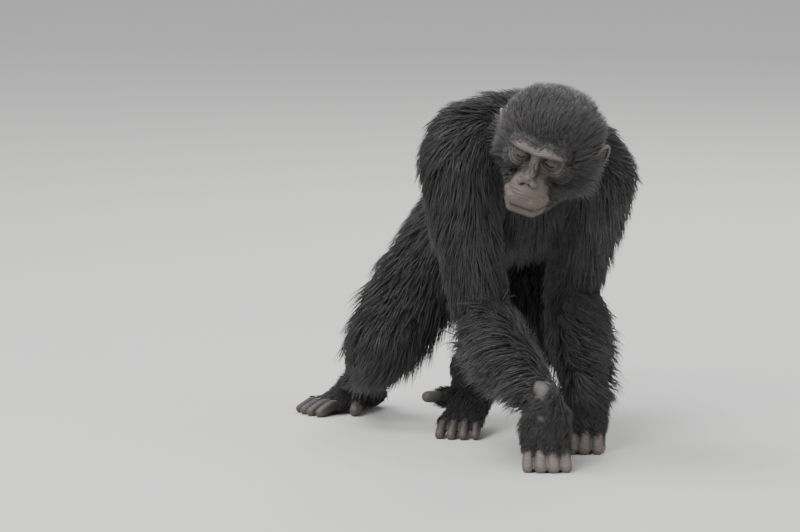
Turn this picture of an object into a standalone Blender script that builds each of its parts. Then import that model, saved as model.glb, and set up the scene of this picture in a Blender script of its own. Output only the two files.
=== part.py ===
"""A life-size chimpanzee walking on its knuckles, as a still museum model.

Metres, +Z up. The animal faces -Y, its left side is at +X, and it stands on the plane z = 0.
The flesh is a set of tapered masses strung along the bones, fused into one skin, smoothed,
and parted with thin cuts into the head, neck, trunk and limb nodes.
"""

import math
import random

import bmesh
import bpy
from mathutils import Matrix, Vector
from mathutils.bvhtree import BVHTree

# Joints of the skeleton at rest, read from the pose, with bone lengths of an adult
SHOULDER_RIGHT = Vector((-0.139, -0.195, 0.565))
SHOULDER_LEFT = Vector((0.130, -0.200, 0.528))
ELBOW_RIGHT = Vector((-0.094, -0.190, 0.268))
ELBOW_LEFT = Vector((0.115, -0.048, 0.298))
WRIST_RIGHT = Vector((-0.016, -0.402, 0.132))
WRIST_LEFT = Vector((0.100, -0.200, 0.130))
HIP_RIGHT = Vector((-0.040, 0.255, 0.382))
HIP_LEFT = Vector((0.095, 0.238, 0.400))
KNEE_RIGHT = Vector((-0.207, 0.176, 0.174))
KNEE_LEFT = Vector((0.086, 0.045, 0.225))
ANKLE_RIGHT = Vector((-0.196, 0.390, 0.074))
ANKLE_LEFT = Vector((-0.036, 0.180, 0.114))
HEAD_CENTRE = Vector((0.005, -0.335, 0.619))
NECK_BASE = Vector((0.006, -0.205, 0.575))
CHEST = Vector((0.002, -0.105, 0.525))
BELLY = Vector((0.008, 0.060, 0.456))
PELVIS = Vector((0.020, 0.225, 0.430))

# Turn of the head, in degrees
HEAD_YAW = -34.0
HEAD_PITCH = 22.0
HEAD_ROLL = 18.5

# Coat: how far the core of the coat stands off the skin, at most half the way to the tips
CORE_BODY = 0.011
CORE_HEAD = 0.007
CORE_HAND = 0.004

# Gaps, resolutions and triangle targets
GAP = 0.0003
LIMB_VOXEL = 0.0034
BLEND_VOXEL = 0.0085
HEAD_VOXEL = 0.0019
FLOOR_REACH = 0.0025

TRUNK_TRIANGLES = 1300
NECK_TRIANGLES = 260
ARM_TRIANGLES = 720
LEG_TRIANGLES = 750
HEAD_TRIANGLES = 1400
EAR_TRIANGLES = 200
NECK_SOCKET = 260
EAR_SOCKET = 60
COVER_SPARE = 0.0015

EYE_RADIUS = 0.0115
EYE_PLACE = Vector((0.0285, -0.0640, -0.0085))
EAR_PLACE = Vector((0.0950, 0.0170, -0.0145))
EAR_STEPS = 14
EAR_FLARE = 13.0

# Lengths of the hand, in metres
PALM_BREADTH = 0.088
PALM_THICK = 0.019
FINGER_RADIUS = 0.0122
PROXIMAL_DROP = 0.040
PROXIMAL_REACH = 0.026
MIDDLE_LENGTH = 0.034
THUMB_RADIUS = 0.0095
FINGER_COUNT = 4

# Lengths of the foot, in metres
SOLE_HALF_BREADTH = 0.041
TOE_RADIUS = 0.0110
HALLUX_RADIUS = 0.0135
TOE_COUNT = 4

# Directions of the hands and feet on the floor
HAND_RIGHT_FACING = Vector((-0.16, -0.987, 0)).normalized()
HAND_LEFT_FACING = Vector((-0.42, -0.907, 0)).normalized()
HEEL_RIGHT = Vector((-0.174, 0.428, 0.0235))
BALL_RIGHT = Vector((-0.262, 0.380, 0.0160))
TOES_RIGHT = Vector((-0.320, 0.348, 0.0080))
HALLUX_RIGHT = Vector((-0.232, 0.316, 0.0105))
HEEL_LEFT = Vector((0.000, 0.172, 0.082))
BALL_LEFT = Vector((-0.078, 0.044, 0.028))
TOES_LEFT = Vector((-0.102, -0.014, 0.0078))
HALLUX_LEFT = Vector((-0.136, 0.096, 0.068))
ANKLE_RIGHT_DOWN = Vector((0.0, 0.35, -0.94)).normalized()
ANKLE_LEFT_DOWN = Vector((-0.35, 0.20, -0.92)).normalized()

ARMS = {
    "right": (SHOULDER_RIGHT, ELBOW_RIGHT, WRIST_RIGHT, HAND_RIGHT_FACING),
    "left": (SHOULDER_LEFT, ELBOW_LEFT, WRIST_LEFT, HAND_LEFT_FACING),
}
LEGS = {
    "right": (HIP_RIGHT, KNEE_RIGHT, ANKLE_RIGHT, HEEL_RIGHT, BALL_RIGHT, TOES_RIGHT, HALLUX_RIGHT,
              ANKLE_RIGHT_DOWN),
    "left": (HIP_LEFT, KNEE_LEFT, ANKLE_LEFT, HEEL_LEFT, BALL_LEFT, TOES_LEFT, HALLUX_LEFT, ANKLE_LEFT_DOWN),
}

# Locks of the coat: size, how they step along the skin, how high each step stands, and taper
LOCK_SEED = 22
LOCK_WIDTH = 0.036
LOCK_THICK = 0.0070
LOCK_SUNK = 0.0055
LOCK_SPACING = 0.041
LOCK_CLEAR = 0.0006
LOCK_CLEARANCE = 0.003
LOCK_HEADROOM = 0.030
LOCK_TRIES = 14
LOCK_STRIDES = (0.20, 0.30, 0.28, 0.22)
LOCK_HEIGHTS = (0.0015, 0.0045, 0.0075, 0.0110)
LOCK_TAPER = (0.70, 1.00, 0.86, 0.50, 0.20)

# Planes across the trunk
WAIST_FRONT = Vector((0.0, -0.020, 0.45))
WAIST_BACK = Vector((0.0, 0.150, 0.44))

SKIN_FACE = (0.115, 0.090, 0.082)
SKIN_HAND = (0.100, 0.085, 0.082)
COAT_BLACK = (0.018, 0.018, 0.021)
EYE_BROWN = (0.050, 0.022, 0.010)


def clear_scene():
    """Remove whatever the file opened with."""
    for obj in list(bpy.data.objects):
        bpy.data.objects.remove(obj, do_unlink=True)


def new_collection(name):
    """A collection linked to the scene."""
    made = bpy.data.collections.new(name)
    bpy.context.scene.collection.children.link(made)
    return made


def new_material(name, colour, roughness):
    """A Principled material of one colour."""
    made = bpy.data.materials.new(name)
    made.use_nodes = True
    shader = made.node_tree.nodes["Principled BSDF"]
    shader.inputs["Base Color"].default_value = (*colour, 1.0)
    shader.inputs["Roughness"].default_value = roughness
    shader.inputs["Metallic"].default_value = 0.0
    return made


def new_object(name, mesh, collection):
    """An object of a mesh, linked to a collection."""
    made = bpy.data.objects.new(name, mesh)
    collection.objects.link(made)
    return made


def mesh_from(bm, name):
    """A mesh made from a bmesh, which is freed."""
    made = bpy.data.meshes.new(name)
    bm.to_mesh(made)
    bm.free()
    return made


def apply_modifiers(obj):
    """Replace an object's mesh with its evaluated one."""
    bpy.context.view_layer.update()
    graph = bpy.context.evaluated_depsgraph_get()
    done = bpy.data.meshes.new_from_object(obj.evaluated_get(graph))
    obj.modifiers.clear()
    obj.data = done


class Masses:
    """Closed, overlapping convex shapes gathered in one bmesh, ready to be fused."""

    def __init__(self, detail=2):
        self.bm = bmesh.new()
        self.detail = detail

    def ellipsoid(self, centre, radii, turn=None):
        """One ellipsoid, with radii along its own axes and a rotation matrix for them."""
        frame = Matrix.Translation(centre)
        if turn is not None:
            frame = frame @ turn.to_4x4()
        frame = frame @ Matrix.Diagonal((*radii, 1.0))
        bmesh.ops.create_icosphere(self.bm, subdivisions=self.detail + 1, radius=1.0, matrix=frame)

    def chain(self, *stations):
        """Tapered lengths between stations of (centre, radius) or (centre, radii, turn)."""
        for first, second in zip(stations, stations[1:]):
            hull = bmesh.new()
            for station in (first, second):
                centre, size = station[0], station[1]
                radii = (size, size, size) if isinstance(size, float) else size
                frame = Matrix.Translation(centre)
                if len(station) > 2:
                    frame = frame @ station[2].to_4x4()
                frame = frame @ Matrix.Diagonal((*radii, 1.0))
                bmesh.ops.create_icosphere(hull, subdivisions=self.detail, radius=1.0, matrix=frame)
            bmesh.ops.delete(hull, geom=hull.faces[:], context="FACES_ONLY")
            found = bmesh.ops.convex_hull(hull, input=hull.verts[:])
            spare = [v for v in found["geom_interior"] if isinstance(v, bmesh.types.BMVert)]
            bmesh.ops.delete(hull, geom=spare, context="VERTS")
            loose = [e for e in hull.edges if not e.link_faces]
            bmesh.ops.delete(hull, geom=loose, context="EDGES")
            bmesh.ops.recalc_face_normals(hull, faces=hull.faces[:])
            piece = bpy.data.meshes.new("piece")
            hull.to_mesh(piece)
            hull.free()
            self.bm.from_mesh(piece)
            bpy.data.meshes.remove(piece)

    def add_mesh(self, mesh):
        """Take in a closed mesh that is already made."""
        self.bm.from_mesh(mesh)

    def fused(self, name, voxel, smooth_times, smooth_factor=0.5):
        """The masses as one smooth closed mesh."""
        obj = new_object(name, mesh_from(self.bm, name), helpers)
        remesh = obj.modifiers.new("fuse", "REMESH")
        remesh.mode = "VOXEL"
        remesh.voxel_size = voxel
        if smooth_times:
            smooth = obj.modifiers.new("smooth", "SMOOTH")
            smooth.factor = smooth_factor
            smooth.iterations = smooth_times
        apply_modifiers(obj)
        mesh = obj.data
        bpy.data.objects.remove(obj)
        return mesh


def along(start, end, share):
    """The point at a share of the way from start to end."""
    return start.lerp(end, share)


def frame_along(direction, side):
    """Rotation whose +Z is direction and whose +X is as near side as it can be."""
    z = direction.normalized()
    x = (side - z * side.dot(z)).normalized()
    y = z.cross(x)
    return Matrix((x, y, z)).transposed()


def trunk_masses(body, core):
    """Rib cage, shoulder girdle, belly, pelvis and rump."""
    body.chain((CHEST, (0.128 + core, 0.114 + core, 0.136 + core)),
               (BELLY, (0.118 + core, 0.130 + core, 0.104 + core)),
               (PELVIS, (0.098 + core, 0.098 + core, 0.080 + core)))
    middle_girdle = Vector((0.002, -0.118, 0.622))
    body.chain((SHOULDER_RIGHT + Vector((0.020, 0.020, 0.035)), 0.064 + core),
               (middle_girdle, 0.060 + core),
               (SHOULDER_LEFT + Vector((-0.020, 0.020, 0.035)), 0.064 + core))
    for shoulder, elbow in ((SHOULDER_RIGHT, ELBOW_RIGHT), (SHOULDER_LEFT, ELBOW_LEFT)):
        body.chain((shoulder, 0.066 + core), (along(shoulder, elbow, 0.22), 0.058 + core))
    for hip, knee in ((HIP_RIGHT, KNEE_RIGHT), (HIP_LEFT, KNEE_LEFT)):
        body.ellipsoid(hip + Vector((0, 0.026, 0.010)), (0.062 + core, 0.064 + core, 0.066 + core))
        body.chain((hip, 0.079 + core), (along(hip, knee, 0.24), 0.078 + core))


def neck_masses(body, core):
    """The short thick neck, from between the shoulders into the back of the head."""
    body.chain((NECK_BASE + Vector((0, 0.03, 0.0)), 0.084 + core),
               (NECK_BASE + Vector((0, -0.035, 0.015)), 0.078 + core),
               (HEAD_CENTRE + Vector((0, 0.045, -0.025)), 0.070 + core))


def arm_masses(body, core, shoulder, elbow, wrist):
    """Upper arm and forearm down to the wrist."""
    body.chain((along(shoulder, elbow, 0.16), 0.053 + core), (along(shoulder, elbow, 0.50), 0.051 + core),
               (elbow, 0.041 + core))
    belly_of_forearm = along(elbow, wrist, 0.30)
    low = along(elbow, wrist, 0.72)
    body.chain((elbow, 0.042 + core), (belly_of_forearm, 0.047 + core), (low, 0.035 + core * 0.8),
               (wrist, 0.028 + core * 0.5))


def leg_masses(body, core, hip, knee, ankle):
    """Thigh, knee and calf down to the ankle."""
    body.chain((along(hip, knee, 0.20), 0.073 + core), (along(hip, knee, 0.50), 0.071 + core),
               (knee, 0.053 + core))
    calf = along(knee, ankle, 0.30)
    low = along(knee, ankle, 0.75)
    body.chain((knee, 0.050 + core), (calf, 0.051 + core), (low, 0.035 + core * 0.8),
               (ankle, 0.031 + core * 0.6))


def hand_masses(fine, core, wrist, facing, medial):
    """A hand on its knuckles: palm upright, finger backs on the floor.

    facing is the way that the back of the hand looks, medial the side of the thumb.
    """
    knuckle_row = Vector((wrist.x, wrist.y, 0.056)) + facing * 0.004
    turn = frame_along(wrist - knuckle_row, medial)
    top = along(knuckle_row, wrist, 0.90)
    half = PALM_BREADTH / 2
    fine.chain((top, (0.031 + core, 0.023 + core, 0.020), turn),
               (along(knuckle_row, wrist, 0.45), (half * 0.92 + core, PALM_THICK + core, 0.018), turn),
               (knuckle_row, (half + core * 0.6, PALM_THICK * 0.92, 0.014), turn))
    for number in range(FINGER_COUNT):
        place = (number - (FINGER_COUNT - 1) / 2) / (FINGER_COUNT - 1)
        radius = FINGER_RADIUS * (1.0, 1.06, 1.02, 0.88)[number]
        arch = (0.000, 0.006, 0.004, -0.003)[number]
        base = knuckle_row - medial * place * (PALM_BREADTH - 2 * FINGER_RADIUS) + facing * 0.002
        base.z = 0.054 + arch * 0.4
        bend = base - medial * place * 0.008 + facing * (PROXIMAL_REACH + arch)
        bend.z = radius - FLOOR_REACH
        rear = bend - facing * MIDDLE_LENGTH
        rear.z = radius * 0.90 - FLOOR_REACH
        tip = rear - facing * 0.004
        tip.z = rear.z + 0.020
        fine.chain((base, radius * 1.08), (bend, radius))
        fine.chain((bend, radius), (rear, radius * 0.90), (tip, radius * 0.74))
    thumb_root = along(knuckle_row, wrist, 0.70) + medial * half * 0.72 - facing * 0.012
    thumb_tip = Vector((thumb_root.x, thumb_root.y, 0.0)) + medial * 0.004 - facing * 0.016
    thumb_tip.z = 0.048
    fine.chain((thumb_root, THUMB_RADIUS * 1.2), (along(thumb_root, thumb_tip, 0.5), THUMB_RADIUS),
               (thumb_tip, THUMB_RADIUS * 0.78))


def foot_masses(fine, core, heel, ball, toe_line, medial, hallux_tip, ankle):
    """A foot: heel, instep, four toes in a row and the big toe set off to the inner side."""
    sole = (ball - heel).normalized()
    turn = frame_along(sole, medial)
    instep = along(heel, ball, 0.55) + Vector((0, 0, 0.010))
    fine.chain((ankle, 0.032 + core), (heel, (0.026, 0.024, 0.026), turn))
    fine.chain((heel, (0.026, 0.024, 0.026), turn), (instep, (0.033 + core * 0.5, 0.022, 0.024), turn),
               (ball, (SOLE_HALF_BREADTH, 0.0155, 0.018), turn))
    fine.chain((ankle, 0.031 + core), (instep, (0.030 + core, 0.022 + core, 0.024), turn))
    spread = SOLE_HALF_BREADTH * 2 - 2 * TOE_RADIUS
    for number in range(TOE_COUNT):
        place = (number - (TOE_COUNT - 1) / 2) / (TOE_COUNT - 1)
        radius = TOE_RADIUS * (1.04, 1.04, 0.98, 0.88)[number]
        reach = (0.96, 1.0, 0.95, 0.84)[number]
        root = ball - medial * place * spread
        tip = along(ball, toe_line, reach) - medial * place * spread * 1.18
        tip.z = toe_line.z
        middle = along(root, tip, 0.52) + Vector((0, 0, 0.007))
        fine.chain((root, radius * 1.1), (middle, radius), (tip, radius * 0.86))
    hallux_root = along(heel, ball, 0.50) + medial * 0.022
    middle = along(hallux_root, hallux_tip, 0.55) + Vector((0, 0, 0.004))
    fine.chain((hallux_root, HALLUX_RADIUS * 1.35), (middle, HALLUX_RADIUS),
               (hallux_tip, HALLUX_RADIUS * 0.86))


def sideways(direction, sign):
    """The level direction at a right angle to direction, to the left for +1."""
    return Vector((0, 0, 1)).cross(direction).normalized() * sign


def trunk_mesh(core):
    """Chest, shoulders, belly and pelvis as one smooth closed mesh."""
    masses = Masses()
    trunk_masses(masses, core)
    return masses.fused("trunk", BLEND_VOXEL, 7, 0.6)


def neck_mesh(core):
    """The neck as one closed mesh."""
    masses = Masses()
    neck_masses(masses, core)
    return masses.fused("neck", BLEND_VOXEL, 3, 0.6)


def arm_mesh(side, core, core_hand):
    """One arm with its hand, as one smooth closed mesh."""
    shoulder, elbow, wrist, facing = ARMS[side]
    coarse = Masses()
    arm_masses(coarse, core, shoulder, elbow, wrist)
    fine = Masses()
    fine.add_mesh(coarse.fused("arm", BLEND_VOXEL, 5, 0.6))
    hand_masses(fine, core_hand, wrist, facing, sideways(facing, 1 if side == "right" else -1))
    return fine.fused("arm", LIMB_VOXEL, 3)


def leg_mesh(side, core, core_hand):
    """One leg with its foot, as one smooth closed mesh."""
    hip, knee, ankle, heel, ball, toes, hallux = LEGS[side][:7]
    coarse = Masses()
    leg_masses(coarse, core, hip, knee, ankle)
    fine = Masses()
    fine.add_mesh(coarse.fused("leg", BLEND_VOXEL, 5, 0.6))
    level = Vector((ball.x - heel.x, ball.y - heel.y, 0)).normalized()
    inner = sideways(level, 1 if side == "right" else -1)
    foot_masses(fine, core_hand, heel, ball, toes, inner, hallux, ankle)
    return fine.fused("leg", LIMB_VOXEL, 3)


def head_turn():
    """Rotation from the head's own frame, which faces -Y, to the body's."""
    yaw = Matrix.Rotation(math.radians(HEAD_YAW), 3, "Z")
    pitch = Matrix.Rotation(math.radians(HEAD_PITCH), 3, "X")
    roll = Matrix.Rotation(math.radians(HEAD_ROLL), 3, "Y")
    return yaw @ pitch @ roll


def both(x, y, z):
    """The two places that mirror each other across the head's midline."""
    return Vector((x, y, z)), Vector((-x, y, z))


def head_mesh(core):
    """Skull, brow, cheeks, nose, lips and jaw in the head's own frame."""
    skull = Masses(3)
    skull.ellipsoid(Vector((0, 0.018, 0.010)), (0.076 + core, 0.076 + core, 0.066 + core))
    skull.ellipsoid(Vector((0, 0.034, -0.012)), (0.071 + core, 0.061 + core, 0.064 + core))
    for place in both(0.051, 0.004, -0.026):
        skull.ellipsoid(place, (0.030 + core, 0.050 + core, 0.056 + core))
    skull.chain((Vector((0, 0.02, -0.04)), 0.062 + core), (Vector((0, 0.030, -0.055)), 0.060 + core))
    for place in both(0.043, -0.050, -0.028):
        skull.ellipsoid(place, (0.023, 0.022, 0.022))
    skull.ellipsoid(Vector((0, -0.043, -0.018)), (0.050, 0.027, 0.034))
    for side in (-1, 1):
        skull.chain((Vector((side * 0.047, 0.000, -0.064)), 0.023 + core * 0.6),
                    (Vector((side * 0.026, -0.070, -0.095)), 0.019))
        skull.chain((Vector((side * 0.047, -0.0520, 0.0080)), 0.0120),
                    (Vector((side * 0.029, -0.0690, 0.0160)), 0.0140),
                    (Vector((0.0, -0.0700, 0.0110)), 0.0125))
    skull.ellipsoid(Vector((0, -0.0800, -0.0620)), (0.0415, 0.0450, 0.0320), Matrix.Rotation(0.25, 3, "X"))
    skull.chain((Vector((0, -0.030, -0.080)), (0.036, 0.034, 0.026)),
                (Vector((0, -0.080, -0.097)), (0.030, 0.030, 0.019)))
    blended = skull.fused("skull", 0.0036, 7, 0.55)

    face = Masses(2)
    face.add_mesh(blended)
    for side in (-1, 1):
        face.chain((Vector((side * 0.0510, -0.0530, 0.0070)), 0.0092),
                   (Vector((side * 0.0425, -0.0670, 0.0160)), 0.0112),
                   (Vector((side * 0.0270, -0.0760, 0.0200)), 0.0122),
                   (Vector((0.0, -0.0745, 0.0130)), 0.0102))
    face.chain((Vector((0, -0.0690, 0.0040)), 0.0105), (Vector((0, -0.0820, -0.0190)), 0.0088),
               (Vector((0, -0.1000, -0.0365)), 0.0112))
    face.chain((Vector((0.037, -0.088, -0.074)), 0.0120), (Vector((0.021, -0.1120, -0.0770)), 0.0130),
               (Vector((-0.021, -0.1120, -0.0770)), 0.0130), (Vector((-0.037, -0.088, -0.074)), 0.0120))
    face.chain((Vector((0.034, -0.084, -0.0965)), 0.0105), (Vector((0.018, -0.1055, -0.1000)), 0.0112),
               (Vector((-0.018, -0.1055, -0.1000)), 0.0112), (Vector((-0.034, -0.084, -0.0965)), 0.0105))
    for place in both(0.0122, -0.1035, -0.0410):
        face.ellipsoid(place, (0.0085, 0.0100, 0.0072))
    for place in both(EYE_PLACE.x, EYE_PLACE.y, EYE_PLACE.z):
        face.ellipsoid(place, (EYE_RADIUS + 0.0040, EYE_RADIUS + 0.0026, EYE_RADIUS + 0.0026))
    return face.fused("head", HEAD_VOXEL, 3)


def ear_mesh(side):
    """A cupped outer ear, in the head's own frame; side is +1 for the left."""
    ear = Masses(2)
    ear.ellipsoid(Vector((0, 0, 0)), (0.0070, 0.0190, 0.0260))
    rim_points = []
    for step in range(EAR_STEPS):
        angle = math.radians(-125 + 290 * step / (EAR_STEPS - 1))
        lift = 0.006 + 0.003 * math.cos(angle)
        rim_points.append((Vector((lift, 0.0195 * math.cos(angle), 0.0275 * math.sin(angle))), 0.0042))
    ear.chain(*rim_points)
    for height in (0.006, -0.012):
        ear.chain((Vector((-0.003, -0.009, height)), 0.010), (Vector((-0.022, -0.012, height)), 0.015))
    mesh = ear.fused("ear", 0.0014, 3)
    carved = new_object("ear_carved", mesh, helpers)
    bowl = Masses(2)
    bowl.ellipsoid(Vector((0.0095, -0.0005, 0.001)), (0.0085, 0.0125, 0.0195))
    bowl.ellipsoid(Vector((0.0040, -0.0060, -0.0060)), (0.0080, 0.0060, 0.0085))
    combine(carved, bowl.fused("bowl", 0.0014, 2), "DIFFERENCE", "MANIFOLD")
    mesh = carved.data
    bpy.data.objects.remove(carved)
    turn = Matrix.Rotation(math.radians(-EAR_FLARE), 4, "Z") @ Matrix.Rotation(math.radians(8), 4, "Y")
    mesh.transform(Matrix.Translation(EAR_PLACE) @ turn)
    if side < 0:
        mesh.transform(Matrix.Diagonal((-1.0, 1.0, 1.0, 1.0)))
        mesh.flip_normals()
    return mesh


def combine(obj, mesh, operation, solver="EXACT"):
    """Union with, cut by, or keep the part inside another mesh."""
    tool = new_object("tool", mesh, helpers)
    cut = obj.modifiers.new("cut", "BOOLEAN")
    cut.operation = operation
    cut.solver = solver
    cut.object = tool
    apply_modifiers(obj)
    bpy.data.objects.remove(tool)
    keep_largest(obj)


def reach(group):
    """The size of the box round a group of vertices, to rank closed surfaces by."""
    spans = [max(vert.co[i] for vert in group) - min(vert.co[i] for vert in group) for i in range(3)]
    return spans[0] * spans[1] * spans[2]


def keep_largest(obj):
    """Leave only the largest closed surface of an object."""
    bm = bmesh.new()
    bm.from_mesh(obj.data)
    bm.verts.ensure_lookup_table()
    seen = set()
    groups = []
    for start in bm.verts:
        if start.index in seen:
            continue
        group = []
        queue = [start]
        seen.add(start.index)
        while queue:
            vert = queue.pop()
            group.append(vert)
            for edge in vert.link_edges:
                other = edge.other_vert(vert)
                if other.index not in seen:
                    seen.add(other.index)
                    queue.append(other)
        groups.append(group)
    groups.sort(key=reach)
    spare = [vert for group in groups[:-1] for vert in group]
    bmesh.ops.delete(bm, geom=spare, context="VERTS")
    neat = bm.copy()
    bmesh.ops.dissolve_degenerate(neat, dist=0.00001, edges=neat.edges[:])
    bmesh.ops.triangulate(neat, faces=neat.faces[:])
    if all(edge.is_manifold for edge in neat.edges):
        neat.to_mesh(obj.data)
    else:
        bm.to_mesh(obj.data)
    neat.free()
    bm.free()


def thinned(obj, target):
    """Reduce an object to about a number of triangles."""
    obj.data.calc_loop_triangles()
    thin = obj.modifiers.new("thin", "DECIMATE")
    thin.ratio = min(1.0, target / len(obj.data.loop_triangles))
    thin.use_collapse_triangulate = True
    apply_modifiers(obj)
    keep_largest(obj)


def swollen(mesh, distance):
    """A copy of a mesh pushed out along its normals."""
    made = new_object("swollen", mesh.copy(), helpers)
    push = made.modifiers.new("push", "DISPLACE")
    push.strength = distance
    push.mid_level = 0.0
    apply_modifiers(made)
    mesh = made.data
    bpy.data.objects.remove(made)
    return mesh


def hull_of(obj, detail, distance):
    """A coarse convex cover of an object, to make room for it in another."""
    bm = bmesh.new()
    bm.from_mesh(obj.data)
    bmesh.ops.delete(bm, geom=bm.faces[:], context="FACES_ONLY")
    found = bmesh.ops.convex_hull(bm, input=bm.verts[:])
    spare = [v for v in found["geom_interior"] if isinstance(v, bmesh.types.BMVert)]
    bmesh.ops.delete(bm, geom=spare, context="VERTS")
    loose = [e for e in bm.edges if not e.link_faces]
    bmesh.ops.delete(bm, geom=loose, context="EDGES")
    bmesh.ops.recalc_face_normals(bm, faces=bm.faces[:])
    made = new_object("cover", mesh_from(bm, "cover"), helpers)
    thin = made.modifiers.new("thin", "DECIMATE")
    thin.ratio = min(1.0, detail / len(made.data.polygons))
    apply_modifiers(made)
    mesh = swollen(made.data, distance + COVER_SPARE)
    bpy.data.objects.remove(made)
    return mesh


def half_space(point, normal, gap):
    """A large block in front of a point, whose face lies half a gap before it."""
    bm = bmesh.new()
    bmesh.ops.create_cube(bm, size=3.0)
    bmesh.ops.translate(bm, verts=bm.verts, vec=(0, 0, 1.5 - gap / 2))
    turn = Vector((0, 0, 1)).rotation_difference(normal).to_matrix().to_4x4()
    bm.transform(Matrix.Translation(point) @ turn)
    return mesh_from(bm, "block")


def duplicate(obj, name):
    """A second object with its own copy of the mesh."""
    return new_object(name, obj.data.copy(), model)


def split(obj, near_name, far_name, point, normal):
    """Part an object at a plane: the near piece is behind it, the far piece in front."""
    far = duplicate(obj, far_name)
    combine(obj, half_space(point, normal, GAP), "DIFFERENCE")
    combine(far, half_space(point, -normal, GAP), "DIFFERENCE")
    obj.name = near_name
    return obj, far


def make_room(obj, others):
    """Cut an object back from others, leaving a thin gap round them."""
    for other in others:
        combine(obj, swollen(other.data, GAP), "DIFFERENCE", "MANIFOLD")
        combine(obj, other.data.copy(), "DIFFERENCE", "MANIFOLD")


def bend_normal(first, middle, last):
    """The direction across a joint, from its first bone to its second."""
    return ((middle - first).normalized() + (last - middle).normalized()).normalized()


def tree_of(obj):
    """A search tree of an object's faces."""
    bm = bmesh.new()
    bm.from_mesh(obj.data)
    tree = BVHTree.FromBMesh(bm)
    bm.free()
    return tree


def tree_of_all(objects):
    """One search tree of the faces of many objects."""
    bm = bmesh.new()
    for obj in objects:
        bm.from_mesh(obj.data)
    tree = BVHTree.FromBMesh(bm)
    bm.free()
    return tree


def lie_of_trunk(point, normal):
    """Hair on the trunk runs back and down, and off the shoulders down the arms."""
    lie = Vector((0, 1, -0.10 - 0.75 * (1 - abs(normal.z))))
    for shoulder, elbow, away in ((SHOULDER_RIGHT, ELBOW_RIGHT, -1), (SHOULDER_LEFT, ELBOW_LEFT, 1)):
        near = 1.0 - min(1.0, (point - shoulder).length / 0.13)
        lie = lie.lerp((elbow - shoulder).normalized() + Vector((away * 0.4, 0.25, 0)), near)
    for hip, knee in ((HIP_RIGHT, KNEE_RIGHT), (HIP_LEFT, KNEE_LEFT)):
        near = 1.0 - min(1.0, (point - along(hip, knee, 0.2)).length / 0.12)
        lie = lie.lerp((knee - hip).normalized(), near)
    return lie


def lie_of_head(point, normal):
    """Hair on the head runs away from the face."""
    face_point = place @ Vector((0, -0.085, -0.030))
    return point - face_point


def lie_between(start, end):
    """Hair on a limb runs from one joint toward another."""
    return lambda point, normal: (end - start).normalized() + Vector((0, 0.10, -0.18))


def hairy_part_of_head(spot):
    """Whether a point of the head carries long hair: behind the brow and on the cheeks."""
    local = place.inverted() @ spot
    return local.y > -0.020 and local.z > -0.085


def random_spots(obj, dice, count):
    """Points spread at random over an object's faces, with the normals there."""
    faces = [face for face in obj.data.polygons]
    areas = [face.area for face in faces]
    spots = []
    for face in dice.choices(faces, weights=areas, k=count):
        corners = [obj.data.vertices[i].co for i in face.vertices]
        first, second = dice.random(), dice.random()
        if first + second > 1:
            first, second = 1 - first, 1 - second
        spots.append((corners[0] + (corners[1] - corners[0]) * first + (corners[2] - corners[0]) * second,
                      face.normal.copy()))
    return spots


def lock_line(spot, normal, lie, skin, length):
    """The middle line of a lock laid along the coat: points, with the up direction at each."""
    level = (lie - normal * lie.dot(normal)).normalized()
    line = [(spot - normal * LOCK_SUNK - level * 0.004, normal)]
    foot = spot
    for stride, height in zip(LOCK_STRIDES, LOCK_HEIGHTS):
        found, up, index, distance = skin.find_nearest(foot + level * length * stride)
        foot = found
        level = (level - up * level.dot(up)).normalized()
        line.append((foot + up * height, up))
    return line


def lock_form(line, width, thick):
    """A flat, tapered, bending lock along a line, as a closed three-sided form."""
    bm = bmesh.new()
    bmesh.ops.create_circle(bm, cap_ends=True, segments=3, radius=1.0)
    cap = bm.faces[:][0]
    points = [point for point, up in line]
    for number, (point, up) in enumerate(line):
        if number:
            grown = bmesh.ops.extrude_face_region(bm, geom=[cap])
            if number > 1:
                bmesh.ops.delete(bm, geom=[cap], context="FACES_ONLY")
            cap = [item for item in grown["geom"] if isinstance(item, bmesh.types.BMFace)][0]
        run = points[min(number + 1, len(points) - 1)] - points[max(number - 1, 0)]
        across = run.cross(up).normalized() * width * LOCK_TAPER[number]
        rise = across.cross(run).normalized() * thick * LOCK_TAPER[number]
        for vert, spot in zip(cap.verts, (point - across / 2, point + across / 2, point + rise)):
            vert.co = spot
    bmesh.ops.pointmerge(bm, verts=cap.verts[:], merge_co=points[-1])
    bmesh.ops.triangulate(bm, faces=bm.faces[:])
    bmesh.ops.recalc_face_normals(bm, faces=bm.faces[:])
    return bm


def swollen_tree(bm, distance):
    """A search tree of a form pushed out a little, to keep its neighbours clear."""
    grown = bm.copy()
    bm.normal_update()
    for vert, source in zip(grown.verts, bm.verts):
        vert.co = source.co + source.normal * distance
    tree = BVHTree.FromBMesh(grown)
    grown.free()
    return tree


def clear_of(form, obj, trees):
    """Whether a form keeps clear of every tree that doesn't belong to an object."""
    return not any(form.overlap(tree) for name, tree in trees if name != obj.name)


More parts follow.
